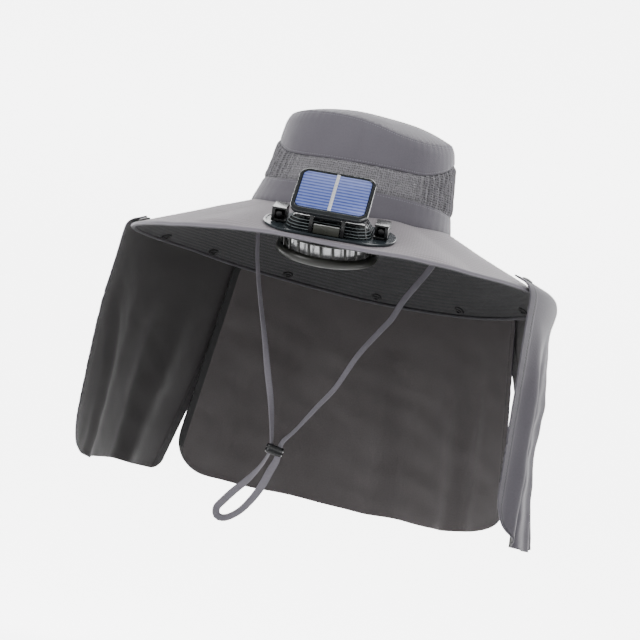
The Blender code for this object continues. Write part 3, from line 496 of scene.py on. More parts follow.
def mesh_knit(name, dark, light):
    """Crinkled knit with small holes, 2.1 mm apart, painted as dark pinpoints: painted shade for
    the dark crown seen through them.
    """
    made, tree, shader = start_material(name, Roughness=0.82, Sheen_Weight=0.15)
    plane = add_node(tree, "UVMap", uv_map="cloth")
    holes = add_node(
        tree,
        "TexVoronoi",
        {"Vector": plane, "Scale": 1.0 / 0.0021, "Randomness": 0.35},
        voronoi_dimensions="2D",
    )
    pit = add_node(tree, "MapRange", (holes, 0.12, 0.42, 0.0, 1.0), interpolation_type="SMOOTHSTEP")
    stretch = add_node(tree, "Mapping", {"Vector": plane, "Scale": (1.0, 0.3, 1.0)})
    crinkle = add_node(tree, "TexNoise", {"Vector": stretch, "Scale": 1.0 / 0.0026, "Detail": 3.0})
    # Painted shade: the hole pinpoints are darker, and the crinkles lighter where they rise and
    # darker in their hollows, following the bump
    tone = add_node(tree, "Math", (pit, 0.5, -0.1), operation="MULTIPLY_ADD")
    tone = add_node(tree, "Math", (crinkle, 0.8, tone), operation="MULTIPLY_ADD")
    base = blend(tree, tone, dark, light, clamp_factor=True)
    height = add_node(tree, "Math", (crinkle, 2.0, pit), operation="MULTIPLY_ADD")
    bump = add_node(tree, "Bump", {"Strength": 1.0, "Distance": 0.0009, "Height": height})
    tree.links.new(base, shader.inputs["Base Color"])
    tree.links.new(bump, shader.inputs["Normal"])
    return made


def moulded_plastic(name, dark, light, grain, rough, **constants):
    """Injection-moulded plastic: fine spark grain, and scuffs that vary the gloss a little."""
    made, tree, shader = start_material(name, **constants)
    place = add_node(tree, "TexCoord", output="Object")
    fine = add_node(tree, "TexNoise", {"Vector": place, "Scale": 1.0 / grain, "Detail": 2.0})
    scuff = add_node(tree, "TexNoise", {"Vector": place, "Scale": 1.0 / 0.012, "Detail": 4.0})
    base = blend(tree, scuff, dark, light)
    gloss = add_node(tree, "MapRange", (scuff, 0.3, 0.7, rough * 0.8, rough * 1.25))
    bump = add_node(tree, "Bump", {"Strength": 0.2, "Distance": 0.00008, "Height": fine})
    tree.links.new(base, shader.inputs["Base Color"])
    tree.links.new(gloss, shader.inputs["Roughness"])
    tree.links.new(bump, shader.inputs["Normal"])
    return made


def brushed_metal(name, dark, light, rough, **constants):
    """Turned metal or metallised plastic: fine streaks along it that stretch the highlights."""
    made, tree, shader = start_material(name, **constants)
    place = add_node(tree, "TexCoord", output="Object")
    long = add_node(tree, "Mapping", {"Vector": place, "Scale": (1.0, 1.0, 9.0)})
    streak = add_node(tree, "TexNoise", {"Vector": long, "Scale": 1.0 / 0.0015, "Detail": 3.0})
    base = blend(tree, streak, dark, light)
    gloss = add_node(tree, "MapRange", (streak, 0.2, 0.8, rough * 0.7, rough * 1.3))
    tree.links.new(base, shader.inputs["Base Color"])
    tree.links.new(gloss, shader.inputs["Roughness"])
    return made


def coated_silicon():
    """Blue multicrystalline cell under clear resin: silvery fingers over a mottled blue."""
    made, tree, shader = start_material(
        "coated_silicon_cell",
        Roughness=0.38,
        Coat_Weight=0.2,
        Coat_Roughness=0.1,
        Metallic=0.1,
    )
    plane = add_node(tree, "UVMap", uv_map="cloth")
    u = add_node(tree, "SeparateXYZ", (plane,))
    v = u.node.outputs["Y"]
    grains = add_node(
        tree, "TexVoronoi", {"Vector": plane, "Scale": 1.0 / 0.0034}, output="Color"
    )
    facet = add_node(tree, "SeparateXYZ", (grains,))
    cloud = add_node(tree, "TexNoise", {"Vector": plane, "Scale": 1.0 / 0.005, "Detail": 4.0})
    blue = add_node(tree, "Math", (facet, 0.45, 0.0), operation="MULTIPLY_ADD")
    blue = add_node(tree, "Math", (cloud, 0.6, blue), operation="MULTIPLY_ADD")
    base = blend(tree, blue, "#26367E", "#4A5DAE", clamp_factor=True)
    # Fingers stand 3.6 mm apart as light bands: the silver fingers, widened into painted glare as
    # wide as the glare on the real ones looks
    off = add_node(tree, "Math", (v, 0.0018), operation="PINGPONG")
    band = add_node(
        tree, "MapRange", (off, 0.0005, 0.0013, 1.0, 0.0), interpolation_type="SMOOTHSTEP"
    )
    band = add_node(tree, "Math", (band, 0.75), operation="MULTIPLY")
    base = blend(tree, band, base, "#7F8FCB")
    tree.links.new(base, shader.inputs["Base Color"])
    return made


def make_materials():
    thread = 0.0011  # real threads are 0.25 mm apart, too fine to show, so they are drawn coarser
    matt = {"Roughness": 0.78, "Sheen_Weight": 0.12, "Sheen_Roughness": 0.5}
    return {
        # Matt taslan nylon, dyed mid grey with a violet cast
        "crown": woven_cloth(
            "taslan_nylon", "#545159", "#66636B", thread, ("hem", 0.0022, 0.0027, "#716E77"), **matt
        ),
        # The top panel is a slightly lighter copy of the crown nylon: painted light on the
        # upward-facing top
        "top": woven_cloth(
            "taslan_nylon_top_painted_light", "#5C5960", "#6C6970",
            thread, ("hem", 0.0020, 0.0027, "#76737B"), **matt,
        ),
        "mesh": mesh_knit("polyester_mesh", "#4A494C", "#88868B"),
        # Two layers of nylon sewn together in close rings, which stiffens the brim
        "brim": woven_cloth(
            "quilted_nylon", "#736E73", "#867F84",
            thread, ("rows", QUILT_PITCH, 0.0028, "#9A9599"), **matt,
        ),
        # The brim's underside is a near-black copy of its quilted nylon: painted shade under the
        # brim
        "brim_under_painted_shade": woven_cloth(
            "quilted_nylon_under_painted_shade", "#141416", "#1A1A1D",
            thread, ("rows", QUILT_PITCH, 0.0028, "#222226"), **matt,
        ),
        "piping": woven_cloth("bias_piping", "#68646C", "#7C7880", thread, **matt),
        # The piping's lower, inner part is a darker copy of it: painted shade under the bead
        "piping_under_painted_shade": woven_cloth("bias_piping_lower_painted_shade", "#28272B", "#333237", thread, **matt),
        # Thin nylon of the flap, one fabric on both faces: its inner faces are darker copies as
        # painted shade, less dark on the rear panel than on the side panels
        "flap": woven_cloth(
            "flap_nylon", "#454249", "#57545B", thread, ("hem", 0.0062, 0.0030, "#333136"), **matt
        ),
        "flap_inside_painted_shade": woven_cloth(
            "flap_inner_face_painted_shade", "#1E1B1C", "#2B2829",
            thread, ("hem", 0.0062, 0.0030, "#0E0D0E"), **matt,
        ),
        "rear_flap_inner_painted_shade": woven_cloth(
            "rear_flap_inner_face_painted_shade", "#332E2E", "#4A4647",
            thread, ("hem", 0.0062, 0.0030, "#171616"), **matt,
        ),
        "flap_binding": woven_cloth("flap_edge_tape", "#0D0D0F", "#151517", thread, **matt),
        "tape": woven_cloth("folded_cord_tape", "#5F5C63", "#7D7A82", 0.0008, **matt),
        # Glossy black ABS of the clips and the guard
        "abs": moulded_plastic("black_abs", "#0B0C0D", "#17191B", 0.0006, 0.26),
        "guard": moulded_plastic("polished_black_abs", "#0E1011", "#202426", 0.0009, 0.18),
        "cage": moulded_plastic("satin_black_abs", "#0F100D", "#1D1E19", 0.0005, 0.34),
        "plate": moulded_plastic("plate_abs", "#20262A", "#3A4246", 0.0006, 0.24),
        "smoked": moulded_plastic("smoked_acrylic", "#33352F", "#45473F", 0.0020, 0.30),
        # Light-grey beads on the louvre edges: painted highlights for the glints on the glossy
        # black louvres
        "guard_painted_highlight": moulded_plastic("louvre_edge_painted_highlight", "#6E7678", "#9AA3A5", 0.0009, 0.18),
        "stud": moulded_plastic("painted_brass_stud", "#070708", "#101012", 0.0004, 0.5),
        "rotor": brushed_metal("metallised_abs", "#B9BABC", "#E4E4E6", 0.24, Metallic=0.55),
        "frame": moulded_plastic("panel_frame_abs", "#0B0F11", "#171D20", 0.0008, 0.22),
        "cell": coated_silicon(),
        "busbar": brushed_metal("tinned_copper", "#DADBDD", "#F4F5F6", 0.3, Metallic=0.6),
        "pin": brushed_metal("steel_pin", "#8C9093", "#B4B8BA", 0.28, Metallic=1.0),
    }


# ---------------------------------------------------------------- mesh making


def settle(piece, body, slot, *nodes):
    """Give a piece its body and hide the solids that it stands for; its finish slot is not used."""
    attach(piece, body)
    if nodes:
        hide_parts(*nodes)
    return piece


def link_mesh(name, mesh, *materials):
    made = bpy.data.objects.new(name, mesh)
    bpy.context.collection.objects.link(made)
    for material in materials:
        mesh.materials.append(material)
    return made


def normals_of(grid, closed):
    """Unit normals of a grid of points, from its neighbours."""
    rows, columns = len(grid), len(grid[0])
    result = []
    for i in range(rows):
        line = []
        up, down = grid[min(i + 1, rows - 1)], grid[max(i - 1, 0)]
        for j in range(columns):
            if closed:
                after, before = (j + 1) % columns, (j - 1) % columns
            else:
                after, before = min(j + 1, columns - 1), max(j - 1, 0)
            across = grid[i][after] - grid[i][before]
            line.append(across.cross(up[j] - down[j]).normalized())
        result.append(line)
    return result


def push(grid, closed, amount):
    """Move each point of a grid along its normal by amount(i, j)."""
    ways = normals_of(grid, closed)
    return [
        [point + ways[i][j] * amount(i, j) for j, point in enumerate(row)]
        for i, row in enumerate(grid)
    ]


def cloth_wall(name, outer, inner, closed, materials, plane, edge, slot_of=None):
    """A closed wall between two grids, with its plane and edge UV maps in metres.

    slot_of(side, i, j) picks the material of a face; side is 0 outside, 1 inside and 2 on the rim.
    """
    rows, columns = len(outer), len(outer[0])
    last = columns if closed else columns - 1
    points = [p for grid in (outer, inner) for row in grid for p in row]
    faces, slots, planes, edges = [], [], [], []

    def face(corners, side):
        faces.append([s * rows * columns + i * columns + j % columns for s, i, j in corners])
        i, j = corners[0][1], corners[0][2]
        slots.append(slot_of(side, i, j) if slot_of else 0)
        for _, i, j in corners:
            planes.extend(plane(i, j))
            edges.extend(edge(i, j))

    for i in range(rows - 1):
        for j in range(last):
            around_face = ((i, j), (i, j + 1), (i + 1, j + 1), (i + 1, j))
            face([(0, *c) for c in around_face], 0)
            face([(1, *c) for c in reversed(around_face)], 1)
    for j in range(last):
        face([(0, 0, j + 1), (0, 0, j), (1, 0, j), (1, 0, j + 1)], 2)
        end = rows - 1
        face([(0, end, j), (0, end, j + 1), (1, end, j + 1), (1, end, j)], 2)
    if not closed:
        end = columns - 1
        for i in range(rows - 1):
            face([(0, i, 0), (0, i + 1, 0), (1, i + 1, 0), (1, i, 0)], 2)
            face([(0, i + 1, end), (0, i, end), (1, i, end), (1, i + 1, end)], 2)
    mesh = bpy.data.meshes.new(name)
    mesh.from_pydata(points, [], faces)
    for layer, values in (("cloth", planes), ("hem", edges)):
        mesh.uv_layers.new(name=layer).data.foreach_set("uv", values)
    mesh.polygons.foreach_set("material_index", slots)
    mesh.shade_smooth()
    made = link_mesh(name, mesh, *materials)
    turn_outwards(made)
    return made


def turn_outwards(piece):
    work = bmesh.new()
    work.from_mesh(piece.data)
    bmesh.ops.recalc_face_normals(work, faces=work.faces)
    work.to_mesh(piece.data)
    work.free()


def hard_piece(name, work, material, place=None, smooth=35.0, bevel=0.0):
    """Turn a bmesh in its own frame into an object: local XY as UVs, soft edges, then placed."""
    bmesh.ops.recalc_face_normals(work, faces=work.faces)
    if bevel:
        sharp = [e for e in work.edges if len(e.link_faces) == 2 and e.calc_face_angle() > 0.6]
        bmesh.ops.bevel(
            work,
            geom=sharp,
            offset=bevel,
            segments=2,
            profile=0.6,
            affect="EDGES",
            clamp_overlap=True,
        )
    layer = work.loops.layers.uv.new("cloth")
    for face in work.faces:
        for loop in face.loops:
            loop[layer].uv = (loop.vert.co.x, loop.vert.co.y)
    if place:
        bmesh.ops.transform(work, matrix=place, verts=work.verts)
    mesh = bpy.data.meshes.new(name)
    work.to_mesh(mesh)
    work.free()
    mesh.shade_smooth()
    mesh.set_sharp_from_angle(angle=math.radians(smooth))
    return link_mesh(name, mesh, material)


def block(work, size, centre, turn=None):
    matrix = Matrix.Translation(centre) @ (turn or Matrix()) @ Matrix.Diagonal((*size, 1.0))
    bmesh.ops.create_cube(work, size=1.0, matrix=matrix)


def lathe(work, profile, steps, place=None):
    """A closed section of (radius, height) turned round Z; a radius of 0 closes on the axis."""
    place = place or Matrix()
    rings = []
    for r, z in profile:
        if r == 0.0:
            rings.append([work.verts.new(place @ Vector((0.0, 0.0, z)))] * steps)
        else:
            turns = [math.tau * j / steps for j in range(steps)]
            spots = [Vector((r * math.cos(t), r * math.sin(t), z)) for t in turns]
            rings.append([work.verts.new(place @ spot) for spot in spots])
    for here, there in zip(rings, rings[1:] + rings[:1]):
        for j in range(steps):
            k = (j + 1) % steps
            corners = list(dict.fromkeys((here[j], here[k], there[k], there[j])))
            if len(corners) > 2:
                work.faces.new(corners)


def rounded_loop(length, width, corner, centre=(0.0, 0.0), steps=8):
    """A rectangle with round corners, anticlockwise."""
    points = []
    for quarter, (side_x, side_y) in enumerate(((1, 1), (-1, 1), (-1, -1), (1, -1))):
        x = centre[0] + side_x * (length / 2 - corner)
        y = centre[1] + side_y * (width / 2 - corner)
        for step in range(steps + 1):
            turn = math.radians(90.0 * (quarter + step / steps))
            points.append((x + corner * math.cos(turn), y + corner * math.sin(turn)))
    return points


def stack(work, loops, cap_first=True, cap_last=True):
    """Skin a list of (outline, height) loops of equal count, with flat ends."""
    rings = [[work.verts.new((x, y, z)) for x, y in outline] for outline, z in loops]
    for here, there in zip(rings, rings[1:]):
        for j, _ in enumerate(here):
            k = (j + 1) % len(here)
            work.faces.new((here[j], here[k], there[k], there[j]))
    if cap_first:
        work.faces.new(list(reversed(rings[0])))
    if cap_last:
        work.faces.new(rings[-1])


def smooth_route(points, count):
    """Evenly spaced points on a smooth curve through a route's own points."""
    points = [Vector(p) for p in points]
    fine = []
    for i in range(len(points) - 1):
        p0, p1 = points[max(i - 1, 0)], points[i]
        p2, p3 = points[i + 1], points[min(i + 2, len(points) - 1)]
        for step in range(12):
            t = step / 12
            fine.append(
                0.5
                * (
                    2 * p1
                    + (p2 - p0) * t
                    + (2 * p0 - 5 * p1 + 4 * p2 - p3) * t**2
                    + (3 * p1 - p0 - 3 * p2 + p3) * t**3
                )
            )
    fine.append(points[-1])
    lengths = [0.0]
    for here, there in zip(fine, fine[1:]):
        lengths.append(lengths[-1] + (there - here).length)
    chosen, k = [], 0
    for step in range(count):
        target = lengths[-1] * step / (count - 1)
        while k < len(fine) - 2 and lengths[k + 1] < target:
            k += 1
        share = (target - lengths[k]) / (lengths[k + 1] - lengths[k])
        chosen.append(fine[k].lerp(fine[k + 1], min(max(share, 0.0), 1.0)))
    return chosen


# ---------------------------------------------------------------- view, light and floor


def set_camera():
    """A long lens in front of the hat, level with the chin cord, rolled as the hat is tilted."""
    turn = math.radians(6.0)
    away = Vector((math.sin(turn), -math.cos(turn), 0.0))
    side = Vector((math.cos(turn), math.sin(turn), 0.0))
    data = bpy.data.cameras.new("camera")
    data.sensor_width = 36.0
    data.lens = 36.0 * 1696.0 / 640.0
    camera = bpy.data.objects.new("camera", data)
    bpy.context.collection.objects.link(camera)
    look = (-away).to_track_quat("-Z", "Y").to_matrix().to_4x4()
    place = Matrix.Translation(away * 1.6 - side * 0.0112 + Vector((0.0, 0.0, -0.100)))
    camera.matrix_world = place @ look @ Matrix.Rotation(math.radians(10.5), 4, "Z")
    bpy.context.scene.camera = camera


def add_softbox(name, place, target, size, power):
    data = bpy.data.lights.new(name, "AREA")
    data.shape = "RECTANGLE"
    data.size, data.size_y = size
    data.energy = power
    light = bpy.data.objects.new(name, data)
    bpy.context.collection.objects.link(light)
    light.location = place
    light.rotation_euler = (Vector(target) - Vector(place)).to_track_quat("-Z", "Y").to_euler()


def make_studio():
    """A pale floor that curves up behind the hat and glows as painted light, brighter far behind
    it; soft boxes above it and to its sides.
    """
    made, tree, shader = start_material("glowing_studio_floor", Roughness=0.9)
    place = add_node(tree, "TexCoord", output="Object")
    grit = add_node(tree, "TexNoise", {"Vector": place, "Scale": 1.0 / 0.4})
    base = blend(tree, grit, "#F6F6F6", "#FAFAFA")
    tree.links.new(base, shader.inputs["Base Color"])
    far = add_node(tree, "SeparateXYZ", (place,))
    far = far.node.outputs["Y"]
    # Painted light: the floor and backdrop glow by emission, 0.15 near the hat rising to 4.5 far
    # behind it, lighting the hat from behind though the floor is no lamp
    glow = add_node(tree, "MapRange", (far, 1.0, 2.6, 0.15, 4.5), interpolation_type="SMOOTHSTEP")
    tree.links.new(glow, shader.inputs["Emission Strength"])
    shader.inputs["Emission Color"].default_value = linear("#FFFFFF")
    work = bmesh.new()
    low, back, radius = -0.95, 2.4, 1.4
    profile = [(-4.0, low), (back, low)]
    for step in range(1, 25):
        turn = math.radians(90.0 * step / 24)
        profile.append((back + radius * math.sin(turn), low + radius * (1.0 - math.cos(turn))))
    profile.append((back + radius, 5.0))
    rows = [[work.verts.new((x, y, z)) for x in (-6.0, 6.0)] for y, z in profile]
    for here, there in zip(rows, rows[1:]):
        work.faces.new((here[0], here[1], there[1], there[0]))
    mesh = bpy.data.meshes.new("studio_floor")
    work.to_mesh(mesh)
    work.free()
    mesh.shade_smooth()
    link_mesh("studio_floor", mesh, made)
    world = bpy.data.worlds.new("studio_world")
    world.use_nodes = True
    world.node_tree.nodes["Background"].inputs["Color"].default_value = linear("#FFFFFF")
    world.node_tree.nodes["Background"].inputs["Strength"].default_value = 0.55
    bpy.context.scene.world = world
    add_softbox("key_softbox", (0.9, -1.3, 2.0), (0.0, -0.05, 0.0), (1.2, 1.0), 36.0)
    add_softbox("fill_softbox", (-1.5, -1.6, 0.6), (0.0, 0.0, -0.10), (1.0, 1.0), 20.0)
    add_softbox("back_softbox", (0.2, 1.6, 2.2), (0.0, 0.0, 0.0), (2.0, 1.0), 24.0)


# ---------------------------------------------------------------- chin cord


def tape_section(width, thickness, sides=14):
    """A flat section with round edges, as (across, through) pairs."""
    section = []
    for i in range(sides):
        turn = math.tau * i / sides
        c, s = math.cos(turn), math.sin(turn)
        section.append(
            (
                math.copysign(abs(c) ** 0.45, c) * width / 2,
                math.copysign(abs(s) ** 0.8, s) * thickness / 2,
            )
        )
    return section


def make_chin_cord(finishes):
    """The chin cord: one folded tape from seam to seam, turning as it hangs."""
    count = 240
    route = smooth_route(CORD_ROUTE, count)
    rings, marks, run = [], [], 0.0
    for i, point in enumerate(route):
        share = i / (count - 1)
        width = between(TAPE_TURNS, share, 1)
        turn = math.radians(between(TAPE_TURNS, share, 2))
        way = (route[min(i + 1, count - 1)] - route[max(i - 1, 0)]).normalized()
        front = Vector((0.0, -1.0, 0.0))
        front = (front - way * front.dot(way)).normalized()
        side = way.cross(front)
        flat = side * math.cos(turn) + front * math.sin(turn)
        face = way.cross(flat)
        curl = 0.0004 * wander(run * 60.0, 3.0)
        ring = []
        for across, through in tape_section(width, TAPE_THICKNESS):
            cup = curl * (1.0 - (2 * across / width) ** 2)
            ring.append(point + flat * across + face * (through + cup))
        rings.append(ring)
        marks.append(run)
        if i < count - 1:
            run += (route[i + 1] - point).length
    sides = len(rings[0])
    points = [p for ring in rings for p in ring]
    faces, planes = [], []
    for i in range(count - 1):
        for j in range(sides):
            k = (j + 1) % sides
            faces.append([i * sides + j, i * sides + k, (i + 1) * sides + k, (i + 1) * sides + j])
            for row, col in ((i, j), (i, j + 1), (i + 1, j + 1), (i + 1, j)):
                planes.extend((marks[row], 0.0011 * col))
    for i in (0, count - 1):
        faces.append([i * sides + j for j in range(sides)])
        planes.extend([marks[i], 0.0] * sides)
    mesh = bpy.data.meshes.new("chin_cord_tape")
    mesh.from_pydata(points, [], faces)
    mesh.uv_layers.new(name="cloth").data.foreach_set("uv", planes)
    mesh.shade_smooth()
    tape = link_mesh("chin_cord_tape", mesh, finishes["tape"])
    turn_outwards(tape)
    settle(tape, "hat", "cord_tape", "chin_cord")
    toggle = make_cord_toggle(finishes)


def make_cord_toggle(finishes):
    """The toggle: a crowned bean with a waist line round it; its two holes are not drawn."""
    work = bmesh.new()
    loops = []
    for z, swell in (
        (-0.0043, 0.78),
        (-0.0040, 0.90),
        (-0.0030, 0.98),
        (-0.0012, 1.00),
        (-0.0006, 0.95),
        (0.0006, 0.95),
        (0.0012, 1.00),
        (0.0030, 0.98),
        (0.0040, 0.90),
        (0.0043, 0.78),
    ):
        loops.append((rounded_loop(0.0172 * swell, 0.0084 * swell, 0.0038 * swell), z))
    stack(work, loops)
    place = Matrix.Translation((-0.0277, -0.0300, -0.2263)) @ Matrix.Rotation(
        math.radians(10.5), 4, "Y"
    )
    toggle = hard_piece("cord_toggle_bean", work, finishes["abs"], place, smooth=50.0)
    settle(toggle, "hat", "black_plastic", "cord_toggle")
    return toggle


# ---------------------------------------------------------------- crown


def seam(column):
    return lambda angle: CROWN_HEIGHT * around(CROWN_SEAMS, angle, column)


def crown_foot(angle):
    return brim_point(angle, 0.0).z - CROWN_TUCK


def pucker(angle, distance, pitch, depth, reach, seed):
    """Small radiating tucks along a seam, in metres: pitch along it, reach away from it."""
    arc = math.radians(angle) * SEAM_RADIUS
    wave = math.cos(math.tau * arc / pitch + 2.4 * wander(arc / (2.2 * pitch), seed))
    strength = 0.6 + 0.6 * wander(arc / (3.5 * pitch), seed + 7.0)
    return depth * wave * max(strength, 0.1) * math.exp(-distance / reach)


def lower_relief(angle, foot, head):
    """The lower band flares to the brim, and its upper edge is tucked in at the mesh seam."""
    relief = pucker(angle, foot, 0.012, 0.0004, 0.006, 1.0)
    relief += pucker(angle, head, 0.010, 0.0003, 0.006, 2.0)
    relief += 0.0008 * wander(angle / 26.0, foot / 0.02, 3.0)
    relief -= 0.0005 * math.exp(-head / 0.0012)
    return relief


def mesh_relief(angle, foot, head):
    """Crinkled knit, gathered into upright folds at the sides and nearly flat in front."""
    side = smooth_step((abs(wrapped(angle)) - 32.0) / 24.0)
    edge = min(foot, head)
    arc = math.radians(angle) * BAND_RADIUS
    fold = math.sin(math.tau * arc / 0.0086 + 2.0 * wander(arc / 0.020, foot / 0.05, 5.0))
    relief = (0.0002 + 0.0021 * side) * fold * (0.4 + 0.6 * smooth_step(edge / 0.006))
    relief += 0.0006 * wander(arc / 0.0028, foot / 0.0085, 6.0)
    relief += 0.0009 * smooth_step(edge / 0.004) - 0.0009 - 0.0012 * side
    return relief


def yoke_relief(angle, foot, head):
    """The smooth yoke: drawn in at its seams, with faint drag lines from the top seam."""
    relief = pucker(angle, foot, 0.013, 0.00025, 0.005, 8.0)
    relief += pucker(angle, head, 0.009, 0.0005, 0.006, 9.0)
    relief += 0.0011 * wander(angle / 34.0, foot / 0.03, 10.0)
    relief -= 0.0005 * math.exp(-foot / 0.0010)
    relief -= SHOULDER_DRAW * max(1.0 - head / SHOULDER_HEIGHT, 0.0) ** 2
    return relief


def make_crown_band(name, node, slot, materials, low, high, rows, columns, relief):
    """One band of the crown as a thin wall, from its foot seam to its head seam."""
    outer = []
    for i in range(rows + 1):
        row = []
        for j in range(columns):
            angle = 360.0 * j / columns
            foot, head = low(angle), high(angle)
            z = foot + (head - foot) * i / rows
            point = crown_point(angle, z)
            row.append(point + heading(angle) * relief(angle, z - foot, head - z))
        outer.append(row)
    inner = push(outer, True, lambda i, j: -CROWN_WALL)
    arc = math.tau * BAND_RADIUS / columns

    def plane(i, j):
        return (arc * j, outer[i][j % columns].z)

    def edge(i, j):
        angle = 360.0 * j / columns
        return (arc * j, (high(angle) - low(angle)) * min(i, rows - i) / rows)

    wall = cloth_wall(name, outer, inner, True, materials, plane, edge)
    return settle(wall, "hat", slot, node)


def make_crown_top(finishes):
    """The top panel: a low dome from the top seam, with tucks round its edge."""
    rows, columns = 46, 320
    outer = []
    for i in range(rows + 1):
        share = (i / rows) ** 1.25 * 0.997
        row = []
        for j in range(columns):
            angle = 360.0 * j / columns
            foot = seam(3)(angle) + GAP
            edge = crown_point(angle, foot) - heading(angle) * SHOULDER_DRAW
            point = edge.lerp(Vector((CROWN_LEAN, 0.0, foot)), share)
            rise = CROWN_HEIGHT + DOME_RISE - foot
            climb = 1.0 - (1.0 - share) ** DOME_ROUNDNESS
            point.z = foot + rise * climb
            inwards = share * TOP_RADIUS
            tuck = pucker(angle, inwards, 0.009, 0.0005, 0.007, 11.0)
            point.z += tuck - 0.0004 * math.exp(-inwards / 0.0012)
            swell = 0.0012 * wander(point.x / 0.045, point.y / 0.045, 12.0)
            point.z += swell * smooth_step(share * 4)
            row.append(point)
        outer.append(row)
    inner = [[p - Vector((0.0, 0.0, CROWN_WALL)) for p in row] for row in outer]

    def plane(i, j):
        point = outer[i][j % columns]
        return (point.x, point.y)

    def edge(i, j):
        return (math.tau * 0.080 * j / columns, TOP_RADIUS * (i / rows) ** 1.25)

    top = cloth_wall("crown_top_cloth", outer, inner, True, [finishes["top"]], plane, edge)
    settle(top, "hat", "grey_nylon", "crown_top")


def make_crown(finishes):
    crown = finishes["crown"]
    make_crown_band(
        "crown_lower_cloth", "crown_lower_band", "grey_nylon", [crown],
        crown_foot, seam(1), 22, 400, lower_relief,
    )
    make_crown_band(
        "crown_mesh_cloth", "crown_mesh_band", "grey_mesh", [finishes["mesh"]],
        seam(1), seam(2), 34, 720, mesh_relief,
    )
    make_crown_band(
        "crown_yoke_cloth", "crown_upper_band", "grey_nylon", [crown],
        seam(2), seam(3), 34, 400, yoke_relief,
    )
    make_crown_top(finishes)


# ---------------------------------------------------------------- brim


def brim_relief(angle, share, inward):
    """Quilted puffs between the stitched rings, and slow waves that leave the fan's place flat."""
    puff = 0.00016 * math.cos(math.tau * inward / QUILT_PITCH)
    slow = 0.0011 * wander(angle / 24.0, share * 2.0, 21.0) * (1.0 - flat_place(angle))
    return puff - 0.00016 + slow * smooth_step(share * 3) * smooth_step((1.0 - share) * 5)


def fan_place():
    """The fan unit's own frame: on the brim's upper face, tilted as the brim is."""
    seat = brim_point(0.0, FAN_REACH / hem_reach(0.0))
    return Matrix.Translation(seat) @ Matrix.Rotation(FAN_SLOPE, 4, "X")


def make_brim(finishes):
    """The brim: two quilted layers, with the round hole for the fan."""
    rows, columns = 92, 400
    outer = []
    for i in range(rows + 1):
        row = []
        for j in range(columns):
            angle = 360.0 * j / columns
            reach = hem_reach(angle)
            end = 1.0 - BINDING_WIDTH * 0.6 / reach
            share = end * i / rows
            point = hem_point(angle, share)
            point.z += brim_relief(angle, share, (1.0 - share) * reach)
            row.append(point)
        outer.append(row)
    inner = [[p - Vector((0.0, 0.0, BRIM_CLOTH - 0.0002)) for p in row] for row in outer]

    def edge(i, j):
        angle = 360.0 * j / columns
        reach = hem_reach(angle)
        share = (1.0 - BINDING_WIDTH * 0.6 / reach) * i / rows
        radius = 0.0975 + reach * share
        return (math.radians(angle) * radius, (1.0 - share) * reach)

    brim = cloth_wall(
        "brim_cloth_sewn",
        outer,
        inner,
        True,
        [finishes["brim"], finishes["brim_under_painted_shade"]],
        edge,
        edge,
        # The underside takes the painted-shade copy of the brim cloth
        lambda side, i, j: 1 if side == 1 else 0,
    )
    cut_fan_hole(brim)
    settle(brim, "hat", "brim_cloth", "brim")


def cut_fan_hole(brim):
    """Cut the hole that the fan's spigot passes through."""
    work = bmesh.new()
    radius = SPIGOT_RADIUS + 0.0002
    lathe(work, [(0.0, -0.02), (radius, -0.02), (radius, 0.02), (0.0, 0.02)], 64, fan_place())
    bmesh.ops.recalc_face_normals(work, faces=work.faces)
    mesh = bpy.data.meshes.new("fan_hole_punch")
    work.to_mesh(mesh)
    work.free()
    punch = link_mesh("fan_hole_punch", mesh)
    cut = brim.modifiers.new("fan_hole", "BOOLEAN")
    cut.operation = "DIFFERENCE"
    cut.solver = "EXACT"
    cut.object = punch
    apply_modifiers(brim)
    bpy.data.objects.remove(punch)


def apply_modifiers(piece):
    bpy.context.view_layer.update()
    shape = piece.evaluated_get(bpy.context.evaluated_depsgraph_get())
    mesh = bpy.data.meshes.new_from_object(shape)
    piece.modifiers.clear()
    piece.data = mesh


def make_brim_binding(finishes):
    """The piped edge of the brim: a soft bead with a slight pucker from its sewing."""
    columns, sides = 420, 18
    rings = []
    for j in range(columns + 1):
        angle = 360.0 * (j % columns) / columns
        out = heading(angle)
        centre = hem_point(angle, 1.0) - out * BINDING_WIDTH / 2
        centre.z -= BRIM_CLOTH / 2
        swell = 1.0 + 0.05 * wander(j * 0.9, 0.0, 31.0)
        centre.z += 0.00025 * wander(j * 0.12, 1.0, 31.0)
        ring = []
        for i in range(sides):
            turn = math.tau * i / sides
            across = out * math.cos(turn) * BINDING_WIDTH / 2 * swell
            rise = math.sin(turn) * BINDING_DEPTH / 2 * swell
            ring.append(centre + across + Vector((0.0, 0.0, rise)))
        rings.append(ring)
    points = [p for ring in rings[:-1] for p in ring]
    faces, planes, slots = [], [], []
    for j in range(columns):
        for i in range(sides):
            k = (i + 1) % sides
            n = (j + 1) % columns
            faces.append([j * sides + i, n * sides + i, n * sides + k, j * sides + k])
            # Faces on the lower, inner part of the bead take the painted-shade copy of the piping
            slots.append(1 if sides * 0.30 <= i < sides * 0.86 else 0)
            for col, row in ((j, i), (j + 1, i), (j + 1, i + 1), (j, i + 1)):
                planes.extend((0.0030 * col, 0.0007 * row))
    mesh = bpy.data.meshes.new("brim_piping")
    mesh.from_pydata(points, [], faces)
    mesh.uv_layers.new(name="cloth").data.foreach_set("uv", planes)
    mesh.polygons.foreach_set("material_index", slots)
    mesh.shade_smooth()
    piping = link_mesh("brim_piping", mesh, finishes["piping"], finishes["piping_under_painted_shade"])
    turn_outwards(piping)
    return settle(piping, "hat", "brim_cloth", "brim_binding")


# ---------------------------------------------------------------- neck flap


